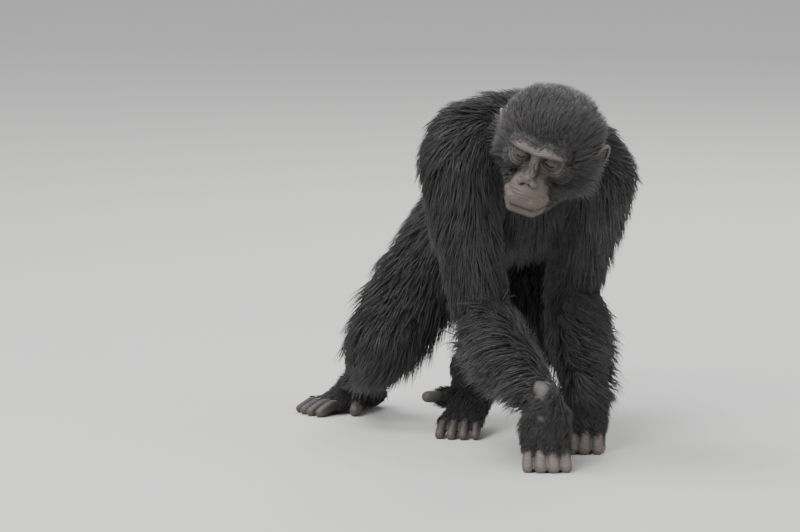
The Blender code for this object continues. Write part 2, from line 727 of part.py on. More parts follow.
def grow_locks(coats):
    """Cover nodes with locks; coats holds (node, lie of the hair, how many, length)."""
    dice = random.Random(LOCK_SEED)
    skin = tree_of_all(list(model.objects))
    trees = [(obj.name, tree_of(obj)) for obj in model.objects]
    rooted = []
    for obj, lie, count, length in coats:
        grown = 0
        for spot, normal in random_spots(obj, dice, count * LOCK_TRIES):
            if grown == count:
                break
            crowded = any((spot - other).length < LOCK_SPACING for other in rooted)
            covered = skin.ray_cast(spot + normal * 0.001, normal, LOCK_HEADROOM)[0] is not None
            bare = obj == head and not hairy_part_of_head(spot)
            direction = lie(spot, normal) + Vector([dice.uniform(-0.16, 0.16) for axis in range(3)])
            steep = (direction - normal * direction.dot(normal)).length < 0.2
            if crowded or covered or bare or steep:
                continue
            line = lock_line(spot, normal, direction, skin, length * dice.uniform(0.85, 1.15))
            form = lock_form(line, LOCK_WIDTH * dice.uniform(0.85, 1.15), LOCK_THICK)
            wide = swollen_tree(form, LOCK_CLEAR)
            if min(vert.co.z for vert in form.verts) < LOCK_CLEARANCE or not clear_of(wide, obj, trees):
                form.free()
                continue
            trees.append((obj.name, wide))
            rooted.append(spot)
            grown += 1
            lock = new_object("lock", mesh_from(form, "lock"), helpers)
            lock["node"] = obj.name


def join_locks(obj):
    """Fuse a node with its locks in one union, and drop the loose locks."""
    group = new_collection("locks")
    for lock in [lock for lock in helpers.objects if lock.get("node") == obj.name]:
        group.objects.link(lock)
    if group.objects:
        union = obj.modifiers.new("locks", "BOOLEAN")
        union.operation = "UNION"
        union.solver = "MANIFOLD"
        union.operand_type = "COLLECTION"
        union.collection = group
        apply_modifiers(obj)
        keep_largest(obj)
    for lock in list(group.objects):
        bpy.data.objects.remove(lock)
    bpy.data.collections.remove(group)


def paint(obj, material):
    """Give an object one material."""
    obj.data.materials.clear()
    obj.data.materials.append(material)
    obj.data.shade_smooth()


clear_scene()
helpers = new_collection("helpers")
model = new_collection("chimpanzee")

coat = new_material("coat_black", COAT_BLACK, 0.62)
face_skin = new_material("skin_face", SKIN_FACE, 0.50)
hand_skin = new_material("skin_hand", SKIN_HAND, 0.58)
eye_glass = new_material("eye_brown", EYE_BROWN, 0.10)

place = Matrix.Translation(HEAD_CENTRE) @ head_turn().to_4x4()
head = new_object("head", head_mesh(CORE_HEAD), model)
thinned(head, HEAD_TRIANGLES)
for spot in both(0.0062, -0.1135, -0.0435):
    bore = Masses(1)
    bore.ellipsoid(spot, (0.0040, 0.0085, 0.0030), Matrix.Rotation(math.copysign(0.5, spot.x), 3, "Y"))
    combine(head, mesh_from(bore.bm, "bore"), "DIFFERENCE")

eyes = []
for name, spot in zip(("eye_left", "eye_right"), both(*EYE_PLACE)):
    ball = Masses(1)
    ball.ellipsoid(spot, (EYE_RADIUS, EYE_RADIUS, EYE_RADIUS))
    eye = new_object(name, mesh_from(ball.bm, name), model)
    opening = Masses(2)
    opening.ellipsoid(spot + Vector((0, -0.0125, 0.0005)), (0.0098, 0.0075, 0.0038),
                      Matrix.Rotation(math.copysign(0.16, spot.x), 3, "Y"))
    combine(head, mesh_from(opening.bm, "opening"), "DIFFERENCE")
    combine(head, swollen(eye.data, GAP), "DIFFERENCE")
    eyes.append(eye)

ears = []
for name, side in (("ear_left", 1), ("ear_right", -1)):
    ear = new_object(name, ear_mesh(side), model)
    thinned(ear, EAR_TRIANGLES)
    combine(head, hull_of(ear, EAR_SOCKET, GAP), "DIFFERENCE")
    ears.append(ear)

for obj in (head, *eyes, *ears):
    obj.data.transform(place)
trunk = new_object("chest", trunk_mesh(CORE_BODY), model)
thinned(trunk, TRUNK_TRIANGLES)
head_cover = hull_of(head, NECK_SOCKET, GAP)
combine(trunk, head_cover.copy(), "DIFFERENCE", "MANIFOLD")
neck = new_object("neck", neck_mesh(CORE_BODY), model)
thinned(neck, NECK_TRIANGLES)
make_room(neck, [trunk])
combine(neck, head_cover, "DIFFERENCE", "MANIFOLD")
for ear in ears:
    combine(trunk, hull_of(ear, EAR_SOCKET, GAP), "DIFFERENCE", "MANIFOLD")
    combine(neck, hull_of(ear, EAR_SOCKET, GAP), "DIFFERENCE", "MANIFOLD")

standing = []
for side in ("right", "left"):
    shoulder, elbow, wrist, facing = ARMS[side]
    arm = new_object("upper_arm_" + side, arm_mesh(side, CORE_BODY, CORE_HAND), model)
    thinned(arm, ARM_TRIANGLES)
    make_room(arm, [trunk])
    arm, fore = split(arm, "upper_arm_" + side, "forearm_" + side, elbow, bend_normal(shoulder, elbow, wrist))
    down = (wrist - elbow).normalized() + Vector((0, 0, -1))
    fore, hand = split(fore, "forearm_" + side, "hand_" + side, wrist, down.normalized())
    standing.append(hand)

    hip, knee, ankle = LEGS[side][:3]
    leg = new_object("thigh_" + side, leg_mesh(side, CORE_BODY, CORE_HAND), model)
    thinned(leg, LEG_TRIANGLES)
    make_room(leg, [trunk])
    leg, shank = split(leg, "thigh_" + side, "shank_" + side, knee, bend_normal(hip, knee, ankle))
    shank, foot = split(shank, "shank_" + side, "foot_" + side, ankle, LEGS[side][7])
    standing.append(foot)

trunk, abdomen = split(trunk, "chest", "abdomen", WAIST_FRONT, Vector((0, 1, 0.10)).normalized())
abdomen, pelvis = split(abdomen, "abdomen", "pelvis", WAIST_BACK, Vector((0, 1, 0.20)).normalized())

floor = half_space(Vector((0, 0, 0)), Vector((0, 0, -1)), 0.0)
for obj in standing:
    combine(obj, floor.copy(), "DIFFERENCE")

by_name = {obj.name: obj for obj in model.objects}
coats = [
    (by_name["chest"], lie_of_trunk, 30, 0.080),
    (by_name["abdomen"], lie_of_trunk, 17, 0.078),
    (by_name["pelvis"], lie_of_trunk, 18, 0.074),
    (by_name["neck"], lie_of_trunk, 4, 0.060),
    (head, lie_of_head, 10, 0.050),
]
for side in ("right", "left"):
    shoulder, elbow, wrist = ARMS[side][:3]
    hip, knee, ankle = LEGS[side][:3]
    coats += [
        (by_name["upper_arm_" + side], lie_between(shoulder, elbow), 9, 0.076),
        (by_name["forearm_" + side], lie_between(wrist, elbow), 10, 0.074),
        (by_name["thigh_" + side], lie_between(hip, knee), 8, 0.070),
        (by_name["shank_" + side], lie_between(knee, ankle), 8, 0.062),
    ]
grow_locks(coats)
for obj, lie, count, length in coats:
    join_locks(obj)

for obj in [obj for obj in model.objects if obj not in (head, *ears, *eyes, *standing)]:
    paint(obj, coat)
for obj in standing:
    paint(obj, hand_skin)
for obj in (head, *ears):
    paint(obj, face_skin)
for obj in eyes:
    paint(obj, eye_glass)

nodes = [obj for obj in bpy.context.scene.objects if obj.type == "MESH"]
corners = [vert.co for obj in nodes for vert in obj.data.vertices]
middle_x = (min(co.x for co in corners) + max(co.x for co in corners)) / 2
middle_y = (min(co.y for co in corners) + max(co.y for co in corners)) / 2
for obj in nodes:
    obj.data.transform(Matrix.Translation((-middle_x, -middle_y, 0)))
print("centred by", round(-middle_x, 5), round(-middle_y, 5))
bpy.data.collections.remove(helpers)
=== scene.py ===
"""Looks of a life-size museum model of a chimpanzee that walks on its knuckles.

Metres, +Z up. The animal faces -Y and its left side is at +X. One skin is fused from tapered
lumps strung along the bones and sculpted at the face, hands and feet. The coat is fine closed
tufts rooted on that skin, and the eyes, ears and nails are pieces of their own.
"""

import logging
import math
from collections.abc import Sequence
from dataclasses import dataclass, field
from enum import Enum

import bmesh
import bpy
import numpy as np
from mathutils import Matrix, Vector
from mathutils.bvhtree import BVHTree
from mathutils.kdtree import KDTree


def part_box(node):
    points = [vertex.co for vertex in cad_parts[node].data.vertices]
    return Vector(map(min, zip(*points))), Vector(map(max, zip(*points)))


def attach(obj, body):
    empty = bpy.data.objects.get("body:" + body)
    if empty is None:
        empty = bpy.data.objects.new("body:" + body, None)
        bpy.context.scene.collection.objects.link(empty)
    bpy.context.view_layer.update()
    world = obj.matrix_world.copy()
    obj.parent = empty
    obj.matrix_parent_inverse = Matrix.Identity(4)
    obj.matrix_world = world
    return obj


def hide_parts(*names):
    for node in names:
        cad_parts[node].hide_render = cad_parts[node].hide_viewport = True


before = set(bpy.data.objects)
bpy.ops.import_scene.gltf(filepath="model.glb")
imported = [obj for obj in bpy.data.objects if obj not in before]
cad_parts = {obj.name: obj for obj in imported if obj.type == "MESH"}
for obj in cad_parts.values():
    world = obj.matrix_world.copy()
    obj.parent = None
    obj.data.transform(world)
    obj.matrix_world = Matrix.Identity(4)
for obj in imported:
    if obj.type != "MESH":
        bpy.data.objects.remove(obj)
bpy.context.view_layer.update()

log = logging.getLogger("chimpanzee")

Colour = tuple[float, float, float]
Triple = tuple[float, float, float]
Station = tuple

UP = Vector((0, 0, 1))
BOTH = (-1, 1)
FLESH_NODES = ("head", "neck", "chest", "abdomen", "pelvis")
LIMB_NODES = ("upper_arm", "forearm", "hand", "thigh", "shank", "foot")


class Side(Enum):
    """A side of the animal, with the sign of its X."""

    LEFT = 1
    RIGHT = -1

    @property
    def label(self) -> str:
        """The side's word in a piece's name."""
        return self.name.lower()


class Operation(Enum):
    """What a Boolean does to a piece."""

    JOIN = "UNION"
    CUT = "DIFFERENCE"


def linked(name: str, mesh: bpy.types.ID) -> bpy.types.Object:
    """Put a mesh, a light or a camera in the scene.

    Args:
        name: The new object's name.
        mesh: What it shows.

    Returns:
        The new object.
    """
    made = bpy.data.objects.new(name, mesh)
    bpy.context.scene.collection.objects.link(made)
    return made


def mesh_of(bm: bmesh.types.BMesh, name: str) -> bpy.types.Mesh:
    """Turn a bmesh into a mesh and free it.

    Args:
        bm: The bmesh, which can't be used afterwards.
        name: The mesh's name.

    Returns:
        The mesh.
    """
    made = bpy.data.meshes.new(name)
    bm.to_mesh(made)
    bm.free()
    return made


def settle(obj: bpy.types.Object) -> bpy.types.Object:
    """Give an object the mesh that its modifiers make, and drop them.

    Args:
        obj: The object to settle.

    Returns:
        The same object.
    """
    bpy.context.view_layer.update()
    graph = bpy.context.evaluated_depsgraph_get()
    done = bpy.data.meshes.new_from_object(obj.evaluated_get(graph))
    obj.modifiers.clear()
    obj.data = done
    return obj


def taken(obj: bpy.types.Object) -> bpy.types.Mesh:
    """Remove an object and hand back its mesh.

    Args:
        obj: The object.

    Returns:
        The mesh.
    """
    mesh = obj.data
    bpy.data.objects.remove(obj)
    return mesh


def combine(obj: bpy.types.Object, tools: list[bpy.types.Mesh], operation: Operation) -> None:
    """Join other closed meshes to an object, or cut them from it.

    Args:
        obj: The object that changes.
        tools: The meshes to use, one after another.
        operation: Whether they are joined or cut.
    """
    for mesh in tools:
        tool = linked("tool", mesh)
        step = obj.modifiers.new("combine", "BOOLEAN")
        step.operation = operation.value
        step.solver = "MANIFOLD"
        step.object = tool
        settle(obj)
        bpy.data.objects.remove(tool)


def thin_out(obj: bpy.types.Object, ratio: float, group: str = "") -> None:
    """Collapse an object's edges.

    Args:
        obj: The object that changes.
        ratio: The share of its faces that stays.
        group: A vertex group to keep the work to, if any.
    """
    step = obj.modifiers.new("thin", "DECIMATE")
    step.ratio = ratio
    step.use_collapse_triangulate = True
    if group:
        step.vertex_group = group
    settle(obj)


def thinned(mesh: bpy.types.Mesh, ratio: float) -> bpy.types.Mesh:
    """The same mesh with that share of its faces.

    Args:
        mesh: A mesh, which is used up.
        ratio: The share.

    Returns:
        The thinner mesh.
    """
    obj = linked("thinned", mesh)
    thin_out(obj, ratio)
    return taken(obj)


def vertices_of(mesh: bpy.types.Mesh) -> np.ndarray:
    """Every vertex's place, one row each.

    Args:
        mesh: The mesh.

    Returns:
        The places.
    """
    places = np.empty(len(mesh.vertices) * 3, np.float32)
    mesh.vertices.foreach_get("co", places)
    return places.reshape(-1, 3).astype(np.float64)


def normals_of(mesh: bpy.types.Mesh) -> np.ndarray:
    """Every vertex's normal, one row each.

    Args:
        mesh: The mesh.

    Returns:
        The normals.
    """
    normals = np.empty(len(mesh.vertices) * 3, np.float32)
    mesh.vertex_normals.foreach_get("vector", normals)
    return normals.reshape(-1, 3).astype(np.float64)


def move_vertices(mesh: bpy.types.Mesh, places: np.ndarray) -> None:
    """Set every vertex's place."""
    mesh.vertices.foreach_set("co", places.astype(np.float32).ravel())
    mesh.update()


def store(mesh: bpy.types.Mesh, name: str, values: np.ndarray) -> None:
    """Keep a number for each vertex under a name that a material can read."""
    kept = mesh.attributes.new(name, "FLOAT", "POINT")
    kept.data.foreach_set("value", values.astype(np.float32))


def rise(values: np.ndarray, low: float, high: float) -> np.ndarray:
    """A smooth step from 0 at low to 1 at high; low may be the larger."""
    share = np.clip((values - low) / (high - low), 0.0, 1.0)
    return share * share * (3.0 - 2.0 * share)


def unit(rows: np.ndarray) -> np.ndarray:
    """Directions, along the last axis, made one long."""
    return rows / np.maximum(np.linalg.norm(rows, axis=-1, keepdims=True), 1e-9)


def share_along(points: np.ndarray, start: np.ndarray, run: np.ndarray) -> np.ndarray:
    """Each point's share of the way along a run from a start."""
    return ((points - start) @ run) / (run @ run)


def swirl(points: np.ndarray, pitch: float, seed: int) -> np.ndarray:
    """Soft waves through space between about -1 and 1, the same on every run.

    Args:
        points: Places, one row each.
        pitch: The distance between the waves.
        seed: Which set of waves to use.

    Returns:
        One value for each point.
    """
    dice = np.random.default_rng(seed)
    total = np.zeros(len(points))
    for wave in range(5):
        direction = dice.normal(size=3)
        direction /= np.linalg.norm(direction)
        stretch = dice.uniform(0.7, 1.5)
        total += np.sin(points @ direction * (2 * math.pi / pitch * stretch) + dice.uniform(0, 6.28))
    return total / 3.0


class Clay:
    """Closed convex lumps gathered in one bmesh, ready to be fused into flesh."""

    def __init__(self, detail: int = 2) -> None:
        """Start with nothing; detail is how finely each lump is faceted."""
        self.bm = bmesh.new()
        self.detail = detail

    def lump(self, centre: Vector, radii: Sequence, turn: Matrix | None = None) -> None:
        """Add one ellipsoid.

        Args:
            centre: Its middle.
            radii: Its three radii along its own axes.
            turn: The rotation of those axes, if they are turned.
        """
        place = Matrix.Translation(centre)
        if turn is not None:
            place = place @ turn.to_4x4()
        place = place @ Matrix.Diagonal((*radii, 1.0))
        bmesh.ops.create_icosphere(self.bm, subdivisions=self.detail + 1, radius=1.0, matrix=place)

    def strand(self, *stations: Station) -> None:
        """Add tapered lengths between stations.

        Args:
            stations: Each is (centre, radius) or (centre, radii, turn).
        """
        for first, second in zip(stations, stations[1:]):
            hull = bmesh.new()
            for station in (first, second):
                size = station[1]
                radii = (size, size, size) if isinstance(size, float) else size
                place = Matrix.Translation(station[0])
                if len(station) > 2:
                    place = place @ station[2].to_4x4()
                place = place @ Matrix.Diagonal((*radii, 1.0))
                bmesh.ops.create_icosphere(hull, subdivisions=self.detail, radius=1.0, matrix=place)
            bmesh.ops.delete(hull, geom=hull.faces[:], context="FACES_ONLY")
            found = bmesh.ops.convex_hull(hull, input=hull.verts[:])
            spare = [item for item in found["geom_interior"] if isinstance(item, bmesh.types.BMVert)]
            bmesh.ops.delete(hull, geom=spare, context="VERTS")
            loose = [edge for edge in hull.edges if not edge.link_faces]
            bmesh.ops.delete(hull, geom=loose, context="EDGES")
            bmesh.ops.recalc_face_normals(hull, faces=hull.faces[:])
            piece = mesh_of(hull, "length")
            self.bm.from_mesh(piece)
            bpy.data.meshes.remove(piece)

    def take(self, mesh: bpy.types.Mesh) -> None:
        """Add a closed mesh that is already made."""
        self.bm.from_mesh(mesh)

    def fuse(self, voxel: float, rounds: int, factor: float = 0.5) -> bpy.types.Mesh:
        """Fuse the lumps into one smooth closed mesh.

        Args:
            voxel: The size of its faces.
            rounds: How many times it is smoothed.
            factor: How much each time.

        Returns:
            The mesh.
        """
        obj = linked("clay", mesh_of(self.bm, "clay"))
        melt = obj.modifiers.new("melt", "REMESH")
        melt.mode = "VOXEL"
        melt.voxel_size = voxel
        if rounds:
            smooth = obj.modifiers.new("smooth", "SMOOTH")
            smooth.factor = factor
            smooth.iterations = rounds
        return taken(settle(obj))


def between(start: Vector, end: Vector, share: float) -> Vector:
    """The point at a share of the way from start to end."""
    return start.lerp(end, share)


def turn_along(direction: Vector, side: Vector) -> Matrix:
    """A rotation with +Z along direction and +X as near to side as it can be.

    Args:
        direction: Where +Z points.
        side: Where +X points, as near as can be.

    Returns:
        The rotation.
    """
    up = direction.normalized()
    across = (side - up * side.dot(up)).normalized()
    return Matrix((across, up.cross(across), up)).transposed()


def sideways(direction: Vector, sign: float) -> Vector:
    """The level direction square to direction, to its left for +1."""
    return UP.cross(direction).normalized() * sign


@dataclass(frozen=True)
class Ellipsoid:
    """A rounded region in the head's own frame."""

    centre: Triple
    radii: Triple

    def reach(self, points: np.ndarray) -> np.ndarray:
        """How far out each point is: 1 at the surface, less within."""
        return np.linalg.norm((points - self.centre) / self.radii, axis=1)


@dataclass(frozen=True)
class Arm:
    """One arm's joints, and the way that the back of its hand looks."""

    side: Side
    shoulder: Vector
    elbow: Vector
    wrist: Vector
    facing: Vector

    @property
    def thumb_way(self) -> Vector:
        """The level direction from the hand's middle to its thumb."""
        return sideways(self.facing, -self.side.value)

    @property
    def top(self) -> Vector:
        """The top of the shoulder, a little inward and back from the joint."""
        return self.shoulder + Vector((-0.02 * self.side.value, 0.02, 0.035))

    @property
    def knuckle_row(self) -> Vector:
        """The middle of the row where the fingers leave the palm."""
        return Vector((self.wrist.x, self.wrist.y, 0.056)) + self.facing * 0.004


@dataclass(frozen=True)
class Leg:
    """One leg's joints and the landmarks of its foot."""

    side: Side
    hip: Vector
    knee: Vector
    ankle: Vector
    heel: Vector
    ball: Vector
    toes: Vector
    big_toe: Vector

    @property
    def inner_way(self) -> Vector:
        """The level direction from the foot's middle to its big toe."""
        level = Vector((self.ball.x - self.heel.x, self.ball.y - self.heel.y, 0)).normalized()
        return sideways(level, -self.side.value)

    @property
    def big_toe_root(self) -> Vector:
        """Where the big toe leaves the sole."""
        return between(self.heel, self.ball, 0.50) + self.inner_way * 0.022


@dataclass(frozen=True)
class Head:
    """Where the head is and how it turns, with the places of its eyes and ears in its own frame."""

    centre: Vector = Vector((0.005, -0.335, 0.619))
    yaw: float = -34.0
    pitch: float = 22.0
    roll: float = 18.5
    eye: Vector = Vector((0.0285, -0.0640, -0.0085))
    eye_radius: float = 0.0115
    ear: Vector = Vector((0.0950, 0.0170, -0.0145))

    @property
    def turn(self) -> Matrix:
        """Rotation from the head's own frame, which faces -Y, to the body's.

        Returns:
            The rotation.
        """
        yaw = Matrix.Rotation(math.radians(self.yaw), 3, "Z")
        pitch = Matrix.Rotation(math.radians(self.pitch), 3, "X")
        return yaw @ pitch @ Matrix.Rotation(math.radians(self.roll), 3, "Y")

    @property
    def place(self) -> Matrix:
        """Transform from the head's own frame to the body's."""
        return Matrix.Translation(self.centre) @ self.turn.to_4x4()

    def own(self, points: np.ndarray) -> np.ndarray:
        """Body places as places in the head's own frame."""
        return (points - np.array(self.centre)) @ np.array(self.turn)

    def outward(self, rows: np.ndarray) -> np.ndarray:
        """Directions in the head's own frame as directions in the body's."""
        return rows @ np.array(self.turn).T


@dataclass(frozen=True)
class Pose:
    """Every joint of the animal as it stands."""

    head: Head = Head()
    neck: Vector = Vector((0.006, -0.205, 0.575))
    chest: Vector = Vector((0.002, -0.105, 0.525))
    belly: Vector = Vector((0.008, 0.060, 0.456))
    pelvis: Vector = Vector((0.020, 0.225, 0.430))
    withers: Vector = Vector((0.002, -0.118, 0.622))
    arms: tuple[Arm, Arm] = (
        Arm(Side.RIGHT, Vector((-0.139, -0.195, 0.565)), Vector((-0.094, -0.190, 0.268)),
            Vector((-0.016, -0.402, 0.132)), Vector((-0.16, -0.987, 0)).normalized()),
        Arm(Side.LEFT, Vector((0.130, -0.200, 0.528)), Vector((0.115, -0.048, 0.298)),
            Vector((0.100, -0.200, 0.130)), Vector((-0.42, -0.907, 0)).normalized()),
    )
    legs: tuple[Leg, Leg] = (
        Leg(Side.RIGHT, Vector((-0.040, 0.255, 0.382)), Vector((-0.207, 0.176, 0.174)),
            Vector((-0.196, 0.390, 0.074)), Vector((-0.174, 0.428, 0.0235)),
            Vector((-0.262, 0.380, 0.0160)), Vector((-0.320, 0.348, 0.0080)),
            Vector((-0.232, 0.316, 0.0105))),
        Leg(Side.LEFT, Vector((0.095, 0.238, 0.400)), Vector((0.086, 0.045, 0.225)),
            Vector((-0.036, 0.180, 0.114)), Vector((0.000, 0.172, 0.082)),
            Vector((-0.078, 0.044, 0.028)), Vector((-0.102, -0.014, 0.0078)),
            Vector((-0.136, 0.096, 0.068))),
    )

    def offset(self) -> Vector:
        """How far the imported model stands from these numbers, read from the left eye's node.

        Returns:
            The shift, which is level.
        """
        low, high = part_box("eye_left")
        found = (low + high) / 2 - self.head.place @ self.head.eye
        return Vector((round(found.x, 4), round(found.y, 4), 0.0))


@dataclass(frozen=True)
class Folds:
    """The folds of skin on the face, in the head's own frame, with their pitches and depths."""

    bag_pitch: float = 0.0058
    bag_depth: float = 0.00090
    lid_depth: float = 0.0011
    corner_rays: int = 16
    corner_depth: float = 0.00035
    brow_pitch: float = 0.0042
    brow_depth: float = 0.00050
    frown_pitch: float = 0.0048
    frown_depth: float = 0.00045
    lip_rays: int = 46
    lip_depth: float = 0.00028
    arc_pitch: float = 0.0060
    arc_depth: float = 0.00035
    mouth_depth: float = 0.0026
    nostril_depth: float = 0.0009
    cheek_depth: float = 0.0012
    grain_pitch: float = 0.0085
    grain_depth: float = 0.00022

    def brow_crest(self, across: np.ndarray) -> np.ndarray:
        """How high the brow ridge runs at each distance from the midline."""
        return 0.0205 - 0.0070 * rise(across, 0.022, 0.0) - 0.0130 * rise(across, 0.034, 0.058)

    def under_eye(self, own: np.ndarray, eye: Vector, side: int) -> np.ndarray:
        """The bags round and under one eye.

        Args:
            own: Places in the head's own frame, one row each.
            eye: The left eye's middle.
            side: The sign of the X of the eye to use.

        Returns:
            One height for each place.
        """
        flat = (own[:, [0, 2]] - (side * eye.x, eye.z)) * (0.88, 1.0)
        away = np.linalg.norm(flat, axis=1) + 0.0006 * swirl(own, 0.022, 6)
        below = rise(flat[:, 1], 0.003, -0.005)
        bags = np.sin((away - 0.0120) * 2 * math.pi / self.bag_pitch)
        return below * rise(away, 0.0115, 0.0140) * rise(away, 0.0340, 0.0230) * bags * self.bag_depth

    def press_eyes(self, own: np.ndarray, eye: Vector, depth: np.ndarray) -> None:
        """Add the bags under the eyes, the creases over the lids and the rays at the outer corners.

        Args:
            own: Places in the head's own frame, one row each.
            eye: The left eye's middle.
            depth: How far out each place moves, which changes.
        """
        for side in BOTH:
            flat = (own[:, [0, 2]] - (side * eye.x, eye.z)) * (0.88, 1.0)
            away = np.linalg.norm(flat, axis=1)
            depth += self.under_eye(own, eye, side)
            above = rise(flat[:, 1], 0.003, 0.006) * rise(away, 0.0110, 0.0120) * rise(away, 0.0185, 0.0150)
            depth -= above * self.lid_depth
            corner = np.linalg.norm(own[:, [0, 2]] - (side * (eye.x + 0.021), eye.z), axis=1)
            swing = np.arctan2(own[:, 2] - eye.z, (own[:, 0] - side * eye.x) * side)
            depth += np.sin(swing * self.corner_rays) * rise(corner, 0.013, 0.005) * self.corner_depth

    def press_brow(self, own: np.ndarray, depth: np.ndarray) -> None:
        """Add the wrinkles along the brow ridge and between the eyes.

        Args:
            own: Places in the head's own frame, one row each.
            depth: How far out each place moves, which changes.
        """
        across = np.abs(own[:, 0])
        lift = own[:, 2] - self.brow_crest(across) + 0.0010 * swirl(own, 0.020, 7)
        on_brow = rise(own[:, 1], -0.046, -0.060) * rise(across, 0.060, 0.048)
        waves = np.sin(lift * 2 * math.pi / self.brow_pitch)
        depth += on_brow * rise(np.abs(lift - 0.003), 0.013, 0.006) * waves * self.brow_depth
        frown = rise(across, 0.014, 0.006) * rise(np.abs(own[:, 2] + 0.010), 0.020, 0.010)
        depth += frown * np.sin(own[:, 2] * 2 * math.pi / self.frown_pitch) * self.frown_depth

    def press_muzzle(self, own: np.ndarray, depth: np.ndarray) -> None:
        """Add the lips' wrinkles and arcs, the mouth, the nostrils' wings and the cheeks' creases.

        Args:
            own: Places in the head's own frame, one row each.
            depth: How far out each place moves, which changes.
        """
        across, level = np.abs(own[:, 0]), own[:, 2]
        front = rise(own[:, 1], -0.070, -0.090)
        lips = front * rise(np.abs(level + 0.083), 0.026, 0.014)
        fan = np.arctan2(own[:, 0], -(own[:, 1] + 0.060))
        depth += lips * np.sin(fan * self.lip_rays + swirl(own, 0.012, 8) * 0.8) * self.lip_depth
        bowed = level + 0.060 + 8.0 * own[:, 0] ** 2
        arcs = np.sin(bowed * 2 * math.pi / self.arc_pitch + swirl(own, 0.03, 9))
        depth += front * rise(np.abs(level + 0.064), 0.016, 0.008) * arcs * self.arc_depth
        smile = -0.0885 + 3.2 * own[:, 0] ** 2
        line = rise(np.abs(level - smile), 0.0022, 0.0004) * rise(own[:, 1], -0.074, -0.084)
        depth -= line * self.mouth_depth
        wing = np.abs(np.hypot((across - 0.0128) / 1.15, level + 0.0415) - 0.0120)
        depth -= front * rise(wing, 0.0016, 0.0004) * rise(level, -0.046, -0.036) * self.nostril_depth
        cheek_line = np.abs(across - (0.024 + 0.42 * (-0.028 - level)))
        crease = rise(cheek_line, 0.0030, 0.0006) * rise(np.abs(level + 0.045), 0.024, 0.014)
        depth -= crease * rise(own[:, 1], -0.058, -0.066) * self.cheek_depth

    def depth(self, own: np.ndarray, eye: Vector) -> np.ndarray:
        """How far out each place on the face moves.

        Args:
            own: Places in the head's own frame, one row each.
            eye: The left eye's middle.

        Returns:
            One distance for each place, less than nothing where the skin is pressed in.
        """
        found = np.zeros(len(own))
        self.press_eyes(own, eye, found)
        self.press_brow(own, found)
        self.press_muzzle(own, found)
        found += self.grain_depth * swirl(own, self.grain_pitch, 10) * rise(own[:, 1], -0.03, -0.05)
        return found


